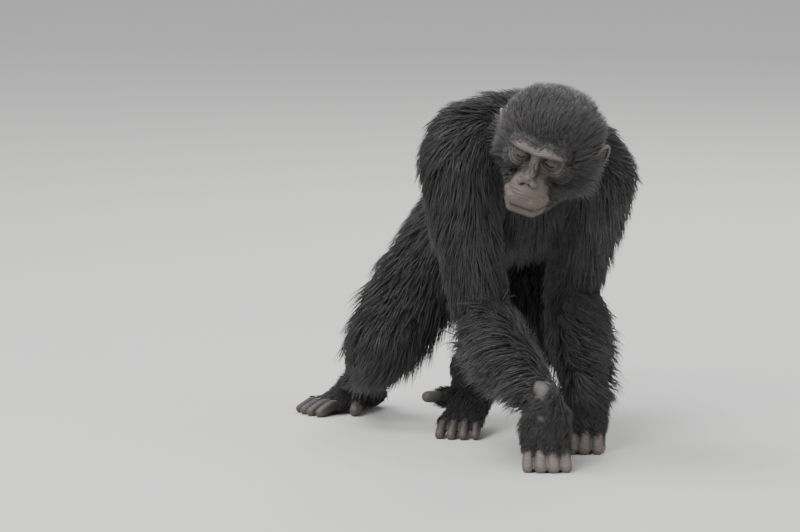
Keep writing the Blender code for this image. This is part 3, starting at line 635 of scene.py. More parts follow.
@dataclass(frozen=True)
class Markings:
    """Where the bare skin, the hair and their colours lie, for skin and coat alike.

    Every method takes places in the body's frame.
    """

    pose: Pose
    folds: Folds
    bare_brow: Ellipsoid = Ellipsoid((0, -0.078, -0.006), (0.059, 0.040, 0.038))
    bare_muzzle: Ellipsoid = Ellipsoid((0, -0.103, -0.072), (0.046, 0.047, 0.047))
    pale_muzzle: Ellipsoid = Ellipsoid((0, -0.110, -0.074), (0.043, 0.040, 0.040))
    nose_tip: Ellipsoid = Ellipsoid((0, -0.104, -0.040), (1.25, 1, 1))
    chin: Triple = (0, -0.085, -0.115)
    brow_margin: float = 0.0068
    worn_spots: tuple[tuple[Triple, Triple], ...] = (((0.006, -0.005, 0.019), (0.018, 0.024, 0.026)),
                                                     ((0.024, -0.005, -0.027), (0.014, 0.018, 0.010)))

    def face_reach(self, points: np.ndarray) -> np.ndarray:
        """How far out from the bare face each point is: 1 at its edge, less within.

        Args:
            points: Places, one row each.

        Returns:
            One value for each point.
        """
        own = self.pose.head.own(points)
        over = own[:, 2] - self.folds.brow_crest(np.abs(own[:, 0])) - self.brow_margin
        brow = np.maximum(self.bare_brow.reach(own), 1.0 + over / 0.040)
        return np.minimum(brow, self.bare_muzzle.reach(own)) + 0.06 * swirl(own, 0.013, 3)

    def bare_face(self, points: np.ndarray) -> np.ndarray:
        """How bare the face is at each point, from 0 to 1."""
        return rise(self.face_reach(points), 1.22, 0.84)

    def muzzle(self, points: np.ndarray) -> np.ndarray:
        """The paler pinkish skin round the nose and mouth."""
        own = self.pose.head.own(points)
        return rise(self.pale_muzzle.reach(own) + 0.06 * swirl(own, 0.016, 4), 1.12, 0.72)

    def nose(self, points: np.ndarray) -> np.ndarray:
        """The darker skin at the nose's tip."""
        return rise(self.nose_tip.reach(self.pose.head.own(points)), 0.024, 0.012)

    def fold(self, points: np.ndarray) -> np.ndarray:
        """The shade in the folds under the eyes and in the eye sockets.

        Args:
            points: Places, one row each.

        Returns:
            One value for each point.
        """
        own, eye = self.pose.head.own(points), self.pose.head.eye
        found = np.zeros(len(points))
        for side in BOTH:
            bags = -self.folds.under_eye(own, eye, side)
            found += np.clip(bags / self.folds.bag_depth, 0, 1) * rise(own[:, 1], -0.040, -0.052)
            socket = np.linalg.norm((own[:, [0, 2]] - (side * eye.x, eye.z)) / (0.021, 0.0125), axis=1)
            found += 0.75 * rise(socket, 1.2, 0.5) * rise(own[:, 1], -0.040, -0.052)
        return np.clip(found, 0, 1)

    def brow(self, points: np.ndarray) -> np.ndarray:
        """The paler ridge over the eyes.

        Args:
            points: Places, one row each.

        Returns:
            One value for each point.
        """
        own = self.pose.head.own(points)
        across = np.abs(own[:, 0])
        above = own[:, 2] - self.folds.brow_crest(across) + 0.0015 * swirl(own, 0.018, 5)
        level = rise(np.abs(above), 0.0095, 0.0035)
        return level * rise(own[:, 1], -0.048, -0.062) * rise(across, 0.058, 0.046)

    def silver(self, points: np.ndarray) -> np.ndarray:
        """Greyer hair on the chin; on the forehead and temples a grey that is partly greying hair and partly
        painted sheen.

        Args:
            points: Places, one row each.

        Returns:
            One value for each point.
        """
        own = self.pose.head.own(points)
        # Front and top of the head: partly greying hair, partly painted sheen.
        forehead = rise(own[:, 1], 0.060, -0.050) * rise(own[:, 2], -0.045, 0.015)
        chin = rise(np.linalg.norm(own - self.chin, axis=1), 0.040, 0.015)
        return np.clip(forehead * 0.30 + chin, 0.0, 1.0)

    def near_hand(self, points: np.ndarray, arm: Arm) -> np.ndarray:
        """One within a hand's reach of the upright through a wrist."""
        return rise(np.linalg.norm((points - np.array(arm.wrist)) * (1, 1, 0), axis=1), 0.11, 0.09)

    def knuckle(self, points: np.ndarray, spread: float) -> np.ndarray:
        """The paler backs of the fingers, with painted shade in the gaps between them.

        Args:
            points: Places, one row each.
            spread: The distance between two fingers.

        Returns:
            One value from 0 to 1 for each point.
        """
        found = np.zeros(len(points))
        for arm in self.pose.arms:
            ahead = (points - np.array(arm.wrist)) @ np.array(arm.facing)
            aside = (points - np.array(arm.wrist)) @ np.array(arm.thumb_way)
            lobe = np.cos((aside / spread + 0.5) * 2 * math.pi)
            back = self.near_hand(points, arm) * rise(ahead, 0.012, 0.026)
            # Less of the pale colour in the gaps between the fingers: painted shade there.
            back = back * rise(points[:, 2], 0.070, 0.045) * (0.45 + 0.55 * rise(lobe, -0.7, 0.5))
            found = np.maximum(found, back)
        return found

    def bare_hand(self, points: np.ndarray, arm: Arm) -> np.ndarray:
        """How bare a hand is at each point: palm and fingers, not the hair on its back.

        Args:
            points: Places, one row each.
            arm: The hand's arm.

        Returns:
            One value for each point.
        """
        offset = points - np.array(arm.wrist)
        near = self.near_hand(points, arm) * rise(points[:, 2], 0.150, 0.140)
        front = offset @ np.array(arm.facing)
        knuckles = rise(points[:, 2] + 0.0045 * swirl(points, 0.024, 11), 0.052, 0.038)
        palm = rise(front, -0.006, -0.016) * rise(points[:, 2], 0.118, 0.104)
        return near * np.maximum(knuckles, palm)

    def worn_reach(self, points: np.ndarray) -> np.ndarray:
        """How far out each point is from the bald patches on the right wrist's back: 1 at their edge.

        Args:
            points: Places, one row each.

        Returns:
            One value for each point.
        """
        arm = self.pose.arms[0]
        thumb_way, facing = np.array(arm.thumb_way), np.array(arm.facing)
        found = np.full(len(points), 9.0)
        for (ahead, aside, height), radii in self.worn_spots:
            centre = arm.wrist + arm.facing * ahead + arm.thumb_way * aside + UP * height
            offset = points - np.array(centre)
            own = np.stack((offset @ thumb_way, offset @ facing, offset[:, 2]), axis=1)
            found = np.minimum(found, np.linalg.norm(own / radii, axis=1))
        return found + 0.12 * swirl(points, 0.016, 12)

    def worn(self, points: np.ndarray) -> np.ndarray:
        """Where the hair is worn off the right wrist."""
        return rise(self.worn_reach(points), 1.10, 0.75)

    def bare_foot(self, points: np.ndarray, leg: Leg) -> np.ndarray:
        """How bare a foot is at each point: sole and toes, not the hair on its back.

        Args:
            points: Places, one row each.
            leg: The foot's leg.

        Returns:
            One value for each point.
        """
        heel, ball, ankle = np.array(leg.heel), np.array(leg.ball), np.array(leg.ankle)
        run = ball - heel
        share = share_along(points, heel, run)
        middle = heel + np.clip(share, -0.2, 1.6)[:, None] * run
        near = rise(np.linalg.norm(points - middle, axis=1), 0.085, 0.070)
        near *= rise(points[:, 2], ankle[2] + 0.02, ankle[2] - 0.01)
        sole = rise(points[:, 2] - middle[:, 2], 0.002, -0.010)
        toes = rise(share + 0.05 * swirl(points, 0.02, 13), 1.00, 1.22)
        root = np.array(leg.big_toe_root)
        toe = np.array(leg.big_toe) - root
        along = share_along(points, root, toe)
        away = np.linalg.norm(points - root - np.clip(along, 0, 1.1)[:, None] * toe, axis=1)
        big = rise(along, 0.45, 0.72) * rise(away, 0.026, 0.020)
        return np.maximum(near * np.maximum(sole, toes), big)

    def toe_ends(self, points: np.ndarray, leg: Leg) -> np.ndarray:
        """The paler skin at the ends of the toes.

        Args:
            points: Places, one row each.
            leg: The foot's leg.

        Returns:
            One value for each point.
        """
        found = np.zeros(len(points))
        for start, end, reach in ((leg.ball, leg.toes, 0.060), (leg.big_toe_root, leg.big_toe, 0.024)):
            root, run = np.array(start), np.array(end - start)
            along = share_along(points, root, run)
            near = rise(np.linalg.norm(points - np.array(end), axis=1), reach * 1.3, reach * 0.8)
            found = np.maximum(found, near * rise(along, 0.55, 1.05))
        return found

    def foot(self, points: np.ndarray) -> np.ndarray:
        """The darker skin of the soles, which fades towards the ends of the toes.

        Args:
            points: Places, one row each.

        Returns:
            One value for each point.
        """
        found = np.zeros(len(points))
        for leg in self.pose.legs:
            bare, ends = self.bare_foot(points, leg), self.toe_ends(points, leg)
            found = np.maximum(found, bare * (1.0 - 0.85 * ends))
        return found

    def bare(self, points: np.ndarray) -> np.ndarray:
        """How bare the skin is anywhere on the body, from 0 to 1.

        Args:
            points: Places, one row each.

        Returns:
            One value for each point.
        """
        found = np.maximum(self.bare_face(points), self.worn(points))
        for arm in self.pose.arms:
            found = np.maximum(found, self.bare_hand(points, arm))
        for leg in self.pose.legs:
            found = np.maximum(found, self.bare_foot(points, leg))
        return found


@dataclass
class Flesh:
    """The skin of the whole animal, lump by lump, with a sculpted face, hands and feet."""

    pose: Pose
    markings: Markings
    blend_voxel: float = 0.0085
    body_voxel: float = 0.0080
    limb_voxel: float = 0.0018
    limb_share: float = 0.28
    face_voxel: float = 0.0011
    hidden_share: float = 0.36
    face_share: float = 0.80
    floor_reach: float = 0.0025
    chest_radii: Triple = (0.128, 0.114, 0.136)
    belly_radii: Triple = (0.118, 0.130, 0.104)
    pelvis_radii: Triple = (0.098, 0.098, 0.080)
    rump_radii: Triple = (0.062, 0.064, 0.066)
    withers_radius: float = 0.060
    yoke_radius: float = 0.064
    shoulder_radii: tuple[float, float] = (0.066, 0.058)
    hip_radii: tuple[float, float] = (0.079, 0.078)
    neck_radii: Triple = (0.084, 0.078, 0.070)
    upper_arm_radii: Triple = (0.053, 0.051, 0.041)
    forearm_radii: tuple[float, ...] = (0.042, 0.047, 0.038, 0.030)
    thigh_radii: Triple = (0.073, 0.071, 0.053)
    shank_radii: tuple[float, ...] = (0.050, 0.051, 0.035, 0.031)
    palm_breadth: float = 0.088
    palm_thick: float = 0.019
    finger_radius: float = 0.0122
    finger_sizes: tuple[float, ...] = (1.0, 1.06, 1.02, 0.88)
    finger_arches: tuple[float, ...] = (0.000, 0.006, 0.004, -0.003)
    thumb_radius: float = 0.0095
    heel_radii: Triple = (0.026, 0.024, 0.026)
    sole_half_breadth: float = 0.041
    toe_radius: float = 0.0110
    toe_sizes: tuple[float, ...] = (1.04, 1.04, 0.98, 0.88)
    toe_reaches: tuple[float, ...] = (0.96, 1.0, 0.95, 0.84)
    big_toe_radius: float = 0.0135

    def trunk(self) -> bpy.types.Mesh:
        """Rib cage, shoulder girdle, belly, pelvis and rump.

        Returns:
            The mesh.
        """
        pose = self.pose
        clay = Clay()
        clay.strand((pose.chest, self.chest_radii), (pose.belly, self.belly_radii),
                    (pose.pelvis, self.pelvis_radii))
        right, left = pose.arms
        clay.strand((right.top, self.yoke_radius), (pose.withers, self.withers_radius),
                    (left.top, self.yoke_radius))
        for arm in pose.arms:
            clay.strand((arm.shoulder, self.shoulder_radii[0]),
                        (between(arm.shoulder, arm.elbow, 0.22), self.shoulder_radii[1]))
        for leg in pose.legs:
            clay.lump(leg.hip + Vector((0, 0.026, 0.010)), self.rump_radii)
            clay.strand((leg.hip, self.hip_radii[0]), (between(leg.hip, leg.knee, 0.24), self.hip_radii[1]))
        return clay.fuse(self.blend_voxel, 7, 0.6)

    def neck(self) -> bpy.types.Mesh:
        """The short thick neck, from between the shoulders into the back of the head.

        Returns:
            The mesh.
        """
        root, throat, nape = self.neck_radii
        clay = Clay()
        clay.strand((self.pose.neck + Vector((0, 0.03, 0.0)), root),
                    (self.pose.neck + Vector((0, -0.035, 0.015)), throat),
                    (self.pose.head.centre + Vector((0, 0.045, -0.025)), nape))
        return clay.fuse(self.blend_voxel, 3, 0.6)

    def limb(self, upper: tuple, lower: tuple) -> bpy.types.Mesh:
        """Two bones' worth of flesh that meet at a joint.

        Args:
            upper: The upper bone's ends, the shares of the way where its girth is given, and the girths.
            lower: The same for the lower bone.

        Returns:
            The mesh.
        """
        clay = Clay()
        for start, end, shares, radii in (upper, lower):
            clay.strand(*((between(start, end, share), radius) for share, radius in zip(shares, radii)))
        return clay.fuse(self.blend_voxel, 5, 0.6)

    def arm(self, arm: Arm) -> bpy.types.Mesh:
        """Upper arm and forearm down to the wrist."""
        return self.limb((arm.shoulder, arm.elbow, (0.16, 0.50, 1), self.upper_arm_radii),
                         (arm.elbow, arm.wrist, (0, 0.30, 0.72, 1), self.forearm_radii))

    def leg(self, leg: Leg) -> bpy.types.Mesh:
        """Thigh, knee and calf down to the ankle."""
        return self.limb((leg.hip, leg.knee, (0.20, 0.50, 1), self.thigh_radii),
                         (leg.knee, leg.ankle, (0, 0.30, 0.75, 1), self.shank_radii))

    def finger(self, arm: Arm, number: int) -> tuple[Vector, Vector, Vector, Vector, float]:
        """The middle line of one finger of a hand that stands on its knuckles.

        Args:
            arm: The hand's arm.
            number: Which finger, counted from the thumb's side.

        Returns:
            Its base, its bend on the floor, the joint behind that, its tip, and its radius.
        """
        facing, thumb_way = arm.facing, arm.thumb_way
        share = (number - 1.5) / 3
        radius = self.finger_radius * self.finger_sizes[number]
        arch = self.finger_arches[number]
        spread = self.palm_breadth - 2 * self.finger_radius
        base = arm.knuckle_row - thumb_way * share * spread + facing * 0.002
        base.z = 0.054 + arch * 0.4
        bend = base - thumb_way * share * 0.008 + facing * (0.026 + arch)
        bend.z = radius - self.floor_reach
        rear = bend - facing * 0.034
        rear.z = radius * 0.90 - self.floor_reach
        tip = rear - facing * 0.004
        tip.z = rear.z + 0.020
        return base, bend, rear, tip, radius

    def thumb(self, arm: Arm) -> tuple[Vector, Vector]:
        """The root and tip of a thumb.

        Args:
            arm: The hand's arm.

        Returns:
            Its root and its tip.
        """
        way, half = arm.thumb_way, self.palm_breadth / 2
        root = between(arm.knuckle_row, arm.wrist, 0.70) + way * half * 0.72 - arm.facing * 0.012
        return root, Vector((root.x, root.y, 0.048)) + way * 0.004 - arm.facing * 0.016

    def hand(self, arm: Arm) -> bpy.types.Mesh:
        """A hand on its knuckles: the palm upright, the finger backs on the floor.

        Args:
            arm: The hand's arm.

        Returns:
            The mesh.
        """
        wrist, facing, row = arm.wrist, arm.facing, arm.knuckle_row
        turn = turn_along(wrist - row, arm.thumb_way)
        half = self.palm_breadth / 2
        neck = (between(row, wrist, 0.90), (0.031, 0.023, 0.020), turn)
        clay = Clay()
        clay.strand((wrist + UP * 0.012, 0.026), neck)
        clay.strand(neck, (between(row, wrist, 0.45), (half * 0.92, self.palm_thick, 0.018), turn),
                    (row, (half, self.palm_thick * 0.92, 0.014), turn))
        for number in range(len(self.finger_sizes)):
            base, bend, rear, tip, radius = self.finger(arm, number)
            clay.lump(base + facing * 0.004, (radius * 1.12, radius * 1.12, radius * 1.0))
            clay.strand((base, radius * 1.02), (between(base, bend, 0.55), radius * 0.93),
                        (bend, radius * 1.02))
            clay.strand((bend, radius * 1.0), (between(bend, rear, 0.5), radius * 0.90),
                        (rear, radius * 0.90), (tip, radius * 0.74))
        root, tip = self.thumb(arm)
        clay.strand((root, self.thumb_radius * 1.2), (between(root, tip, 0.5), self.thumb_radius),
                    (tip, self.thumb_radius * 0.78))
        return thinned(clay.fuse(self.limb_voxel, 3), self.limb_share)

    def toe(self, leg: Leg, number: int) -> tuple[Vector, Vector, Vector, float]:
        """The middle line of one of the four toes in a row.

        Args:
            leg: The foot's leg.
            number: Which toe, counted from the big toe's side.

        Returns:
            Its root, its middle, its tip, and its radius.
        """
        inner, share = leg.inner_way, (number - 1.5) / 3
        spread = self.sole_half_breadth * 2 - 2 * self.toe_radius
        root = leg.ball - inner * share * spread
        tip = between(leg.ball, leg.toes, self.toe_reaches[number]) - inner * share * spread * 1.18
        tip.z = leg.toes.z
        return root, between(root, tip, 0.52) + UP * 0.007, tip, self.toe_radius * self.toe_sizes[number]

    def foot(self, leg: Leg) -> bpy.types.Mesh:
        """Heel, instep, four toes in a row and the big toe set off to the inner side.

        Args:
            leg: The foot's leg.

        Returns:
            The mesh.
        """
        turn = turn_along(leg.ball - leg.heel, leg.inner_way)
        instep = between(leg.heel, leg.ball, 0.55) + UP * 0.010
        heel = (leg.heel, self.heel_radii, turn)
        clay = Clay()
        clay.strand((leg.ankle, 0.032), heel)
        clay.strand(heel, (instep, (0.033, 0.022, 0.024), turn),
                    (leg.ball, (self.sole_half_breadth, 0.0155, 0.018), turn))
        clay.strand((leg.ankle, 0.031), (instep, (0.030, 0.022, 0.024), turn))
        for number in range(len(self.toe_sizes)):
            root, middle, tip, radius = self.toe(leg, number)
            clay.strand((root, radius * 1.1), (middle, radius), (tip, radius * 0.86))
        root = leg.big_toe_root
        middle = between(root, leg.big_toe, 0.55) + UP * 0.004
        clay.strand((root - leg.inner_way * 0.010 + UP * 0.006, self.big_toe_radius * 1.7),
                    (between(root, middle, 0.5), self.big_toe_radius * 1.35), (middle, self.big_toe_radius),
                    (leg.big_toe, self.big_toe_radius * 0.86))
        return thinned(clay.fuse(self.limb_voxel, 3), self.limb_share)

    def skull(self) -> bpy.types.Mesh:
        """Skull, cheeks, brow, muzzle and jaw blended in the head's own frame.

        Returns:
            The mesh.
        """
        clay = Clay(3)
        clay.lump(Vector((0, 0.020, 0.008)), (0.083, 0.082, 0.069))
        clay.lump(Vector((0, 0.034, -0.012)), (0.078, 0.067, 0.070))
        clay.strand((Vector((0, 0.02, -0.04)), 0.062), (Vector((0, 0.030, -0.055)), 0.060))
        clay.lump(Vector((0, -0.043, -0.018)), (0.050, 0.027, 0.034))
        for side in BOTH:
            clay.lump(Vector((side * 0.054, 0.008, -0.026)), (0.036, 0.054, 0.060))
            clay.lump(Vector((side * 0.043, -0.050, -0.028)), (0.023, 0.022, 0.022))
            clay.strand((Vector((side * 0.047, 0.000, -0.064)), 0.023),
                        (Vector((side * 0.026, -0.070, -0.095)), 0.019))
            clay.strand((Vector((side * 0.047, -0.0520, 0.0080)), 0.0120),
                        (Vector((side * 0.029, -0.0690, 0.0160)), 0.0140),
                        (Vector((0.0, -0.0700, 0.0110)), 0.0125))
        clay.lump(Vector((0, -0.0800, -0.0655)), (0.0385, 0.0450, 0.0310), Matrix.Rotation(0.25, 3, "X"))
        clay.strand((Vector((0, -0.030, -0.080)), (0.036, 0.034, 0.026)),
                    (Vector((0, -0.080, -0.097)), (0.033, 0.030, 0.019)))
        return clay.fuse(0.0036, 7, 0.55)

    def face(self) -> bpy.types.Mesh:
        """The skull with its brow ridge, nose, lips and lids, in the head's own frame.

        Returns:
            The mesh.
        """
        eye, radius = self.pose.head.eye, self.pose.head.eye_radius
        clay = Clay()
        clay.take(self.skull())
        for side in BOTH:
            clay.strand((Vector((side * 0.0510, -0.0530, 0.0070)), 0.0092),
                        (Vector((side * 0.0425, -0.0670, 0.0160)), 0.0112),
                        (Vector((side * 0.0270, -0.0760, 0.0200)), 0.0122),
                        (Vector((0.0, -0.0745, 0.0130)), 0.0102))
            clay.lump(Vector((side * 0.0122, -0.1035, -0.0410)), (0.0085, 0.0100, 0.0072))
            clay.lump(Vector((side * eye.x, eye.y, eye.z)),
                      (radius + 0.0040, radius + 0.0026, radius + 0.0026))
            for arch in (1, -1):
                lid = []
                for step in range(7):
                    swing = math.radians(-66 + 22 * step)
                    lid.append((Vector((side * eye.x + 0.0112 * math.sin(swing),
                                        eye.y - 0.0112 * math.cos(swing) * 0.98 - 0.0010,
                                        eye.z + arch * (0.0040 * math.cos(swing) + 0.0002))), 0.0019))
                clay.strand(*lid)
        clay.strand((Vector((0, -0.0690, 0.0040)), 0.0105), (Vector((0, -0.0820, -0.0190)), 0.0088),
                    (Vector((0, -0.1000, -0.0365)), 0.0112))
        for back, corner, front, drop, thick in ((-0.088, -0.0770, -0.1120, -0.0770, 0.0130),
                                                 (-0.084, -0.0965, -0.1055, -0.1000, 0.0112)):
            clay.strand((Vector((0.0335, back, corner)), thick * 0.93),
                        (Vector((0.020, front, drop)), thick), (Vector((-0.020, front, drop)), thick),
                        (Vector((-0.0335, back, corner)), thick * 0.93))
        return clay.fuse(self.face_voxel, 3)

    def head(self) -> bpy.types.Mesh:
        """The finished head, in the body's frame, finest where no hair hides it.

        Returns:
            The mesh.
        """
        head = self.pose.head
        mesh = self.face()
        own = vertices_of(mesh)
        depth = self.markings.folds.depth(own, head.eye)
        move_vertices(mesh, own + normals_of(mesh) * depth[:, None])
        obj = linked("head", mesh)
        cuts = []
        for side in BOTH:
            spot = Vector((side * head.eye.x, head.eye.y, head.eye.z))
            opening = Clay()
            opening.lump(spot + Vector((0, -0.0125, 0.0002)), (0.0100, 0.0080, 0.0033),
                         Matrix.Rotation(side * 0.16, 3, "Y"))
            socket = Clay(3)
            socket.lump(spot, [head.eye_radius + 0.0003] * 3)
            bore = Clay()
            bore.lump(Vector((side * 0.0068, -0.1130, -0.0435)), (0.0054, 0.0090, 0.0037),
                      Matrix.Rotation(side * 0.5, 3, "Y"))
            cuts += [mesh_of(clay.bm, "cut") for clay in (opening, socket, bore)]
        combine(obj, cuts, Operation.CUT)
        obj.data.transform(head.place)
        hidden = 1.0 - rise(head.own(vertices_of(obj.data))[:, 1], -0.020, -0.045)
        group = obj.vertex_groups.new(name="hidden")
        for index, weight in enumerate(hidden):
            if weight > 0.02:
                group.add([index], float(weight), "REPLACE")
        thin_out(obj, self.hidden_share, "hidden")
        thin_out(obj, self.face_share)
        return taken(obj)

    def build(self) -> bpy.types.Object:
        """Fuse the whole skin and set it on the floor.

        Returns:
            The skin, with its masks for the materials.
        """
        body = Clay()
        for mesh in (self.trunk(), self.neck(), *(self.arm(arm) for arm in self.pose.arms),
                     *(self.leg(leg) for leg in self.pose.legs)):
            body.take(mesh)
        skin = linked("skin", body.fuse(self.body_voxel, 2))
        log.info("body fused: %d faces", len(skin.data.polygons))
        ends = [self.hand(arm) for arm in self.pose.arms] + [self.foot(leg) for leg in self.pose.legs]
        for end in ends:
            log.info("hand or foot: %d faces", len(end.polygons))
        combine(skin, [*ends, self.head()], Operation.JOIN)
        self.keep_above_floor(skin)
        self.mark(skin)
        return skin

    def keep_above_floor(self, skin: bpy.types.Object) -> None:
        """Flatten what presses on the floor.

        Args:
            skin: The skin.
        """
        places = vertices_of(skin.data)
        places[:, 2] = np.maximum(places[:, 2], 0.0)
        move_vertices(skin.data, places)

    def mark(self, skin: bpy.types.Object) -> None:
        """Keep the markings on the skin for its material.

        Args:
            skin: The skin.
        """
        mesh, points, markings = skin.data, vertices_of(skin.data), self.markings
        for name in ("bare", "muzzle", "brow", "nose", "fold", "worn", "foot"):
            store(mesh, name, getattr(markings, name)(points))
        spread = (self.palm_breadth - 2 * self.finger_radius) / 3 * 1.10
        store(mesh, "knuckle", markings.knuckle(points, spread))


class Shade:
    """A number on its way through a material, with arithmetic that adds Math nodes."""

    def __init__(self, recipe: "Recipe", socket: bpy.types.NodeSocket) -> None:
        """Wrap an output socket of a recipe."""
        self.recipe = recipe
        self.socket = socket

    def math(self, operation: str, *values: object, clamp: bool = False) -> "Shade":
        """Put values through one Math node.

        Args:
            operation: The node's operation.
            values: What goes in, in order.
            clamp: Whether the result is kept from 0 to 1.

        Returns:
            The result.
        """
        made = self.recipe.node("ShaderNodeMath", {"operation": operation, "use_clamp": clamp})
        for socket, value in zip(made.inputs, values):
            self.recipe.feed(socket, value)
        return Shade(self.recipe, made.outputs[0])

    def __add__(self, other: object) -> "Shade":
        """Sum."""
        return self.math("ADD", self, other)

    def __radd__(self, other: object) -> "Shade":
        """Sum, from the right."""
        return self.math("ADD", other, self)

    def __sub__(self, other: object) -> "Shade":
        """Difference."""
        return self.math("SUBTRACT", self, other)

    def __rsub__(self, other: object) -> "Shade":
        """Difference, from the right."""
        return self.math("SUBTRACT", other, self)

    def __mul__(self, other: object) -> "Shade":
        """Product."""
        return self.math("MULTIPLY", self, other)

    def __pow__(self, other: object) -> "Shade":
        """Power."""
        return self.math("POWER", self, other)

    def clipped(self) -> "Shade":
        """The number kept from 0 to 1."""
        return self.math("ADD", self, 0.0, clamp=True)

    def above(self, level: float) -> "Shade":
        """One where the number is above a level, and nothing elsewhere."""
        return self.math("GREATER_THAN", self, level)


class Recipe:
    """A material being mixed: one Principled shader and the nodes that feed it."""

    def __init__(self, name: str, fixed: dict[str, object]) -> None:
        """Start a material.

        Args:
            name: The material's name.
            fixed: Shader sockets that are the same all over.
        """
        self.material = bpy.data.materials.new(name)
        self.material.use_nodes = True
        self.tree = self.material.node_tree
        self.shader = self.tree.nodes["Principled BSDF"]
        for socket, value in fixed.items():
            self.feed(self.shader.inputs[socket], value)

    def feed(self, socket: bpy.types.NodeSocket, value: object) -> None:
        """Link a socket to a value, or set it to one."""
        if isinstance(value, Shade):
            self.tree.links.new(value.socket, socket)
        elif isinstance(value, bpy.types.NodeSocket):
            self.tree.links.new(value, socket)
        elif isinstance(value, tuple) and socket.type == "RGBA":
            socket.default_value = (*value, 1.0)
        else:
            socket.default_value = value

    def node(self, kind: str, settings: dict | None = None, sockets: dict | None = None) -> bpy.types.Node:
        """Add a node.

        Args:
            kind: The node's type.
            settings: Its own settings, which are set first.
            sockets: Values or links of its inputs, by name.

        Returns:
            The node.
        """
        made = self.tree.nodes.new(kind)
        for name, value in (settings or {}).items():
            setattr(made, name, value)
        for name, value in (sockets or {}).items():
            self.feed(made.inputs[name], value)
        return made

    def kept(self, name: str) -> Shade:
        """A number that the mesh keeps for each vertex."""
        made = self.node("ShaderNodeAttribute", {"attribute_name": name})
        return Shade(self, made.outputs["Fac"])

    def place(self) -> bpy.types.NodeSocket:
        """Where a point lies in the object's own space."""
        return self.node("ShaderNodeTexCoord").outputs["Object"]

    def noise(self, scale: float, detail: float) -> Shade:
        """Soft noise in the object's own space, from about 0.2 to 0.8."""
        sockets = {"Vector": self.place(), "Scale": scale, "Detail": detail, "Roughness": 0.55}
        return Shade(self, self.node("ShaderNodeTexNoise", None, sockets).outputs["Fac"])

    def cells(self, scale: float) -> Shade:
        """Distance to the nearest of scattered points, as for pores."""
        made = self.node("ShaderNodeTexVoronoi", None, {"Vector": self.place(), "Scale": scale})
        return Shade(self, made.outputs["Distance"])

    def creases(self, pitch: float, warp: float) -> Shade:
        """Level waves, bent by noise.

        Args:
            pitch: The distance between two waves.
            warp: How much the noise bends them, in radians.

        Returns:
            A number from -1 to 1.
        """
        level = Shade(self, self.node("ShaderNodeSeparateXYZ", None, {"Vector": self.place()}).outputs["Z"])
        turn = level * (2 * math.pi / pitch) + self.noise(90.0, 3.0) * warp
        return turn.math("SINE", turn)

    def mix(self, share: object, first: object, second: object) -> bpy.types.NodeSocket:
        """Mix two colours.

        Args:
            share: How much of the second shows.
            first: One colour.
            second: The other.

        Returns:
            The mixed colour's socket.
        """
        made = self.node("ShaderNodeMix", {"data_type": "RGBA"})
        self.feed(made.inputs[0], share)
        self.feed(made.inputs[6], first)
        self.feed(made.inputs[7], second)
        return made.outputs[2]

    def bump(self, height: Shade, distance: float) -> None:
        """Raise the surface by a height, in metres times distance."""
        made = self.node("ShaderNodeBump", None, {"Height": height, "Distance": distance, "Strength": 1.0})
        self.feed(self.shader.inputs["Normal"], made.outputs["Normal"])

    def finish(self, colour: object, roughness: object = None) -> bpy.types.Material:
        """Feed the shader's colour and roughness, and hand back the material.

        Args:
            colour: The colour, all over or as a socket.
            roughness: The roughness where it varies.

        Returns:
            The material.
        """
        self.feed(self.shader.inputs["Base Color"], colour)
        if roughness is not None:
            self.feed(self.shader.inputs["Roughness"], roughness)
        return self.material


@dataclass(frozen=True)
class CoatFinish:
    """Long hair: near black, darkest at the roots with painted shade deep in the coat, a little browner and
    paler to the tips, greyer on the chin, and on the forehead a grey that is partly greying and partly
    painted sheen.
    """

    # Near black at the roots, darkened there as painted shade deep in the coat.
    root: Colour = (0.007, 0.007, 0.008)
    tip: Colour = (0.037, 0.036, 0.038)
    brown: Colour = (0.060, 0.052, 0.045)
    # Grey of the greying hair on the chin, also painted as a sheen on the forehead.
    silver: Colour = (0.120, 0.112, 0.104)

    def build(self) -> bpy.types.Material:
        """Mix the hair.

        Returns:
            The material.
        """
        mix = Recipe("coat", {"Sheen Weight": 0.14, "Sheen Roughness": 0.35,
                              "Sheen Tint": (0.75, 0.75, 0.80), "Specular IOR Level": 0.50})
        tone, along, silver = mix.kept("tone"), mix.kept("along"), mix.kept("silver")
        drift = mix.noise(9.0, 2.0)
        # Darkest at the roots, painted shade deep in the coat; paler to the tips.
        colour = mix.mix((along ** 1.4) * 0.9, self.root, self.tip)
        colour = mix.mix((tone * 0.55 * drift + along * 0.12).clipped(), colour, self.brown)
        # Greyer on the chin; on the forehead this grey is partly painted sheen.
        colour = mix.mix((silver * (0.25 + along * 0.55) * (0.35 + tone)).clipped(), colour, self.silver)
        return mix.finish(colour, 0.40 + tone * 0.20)


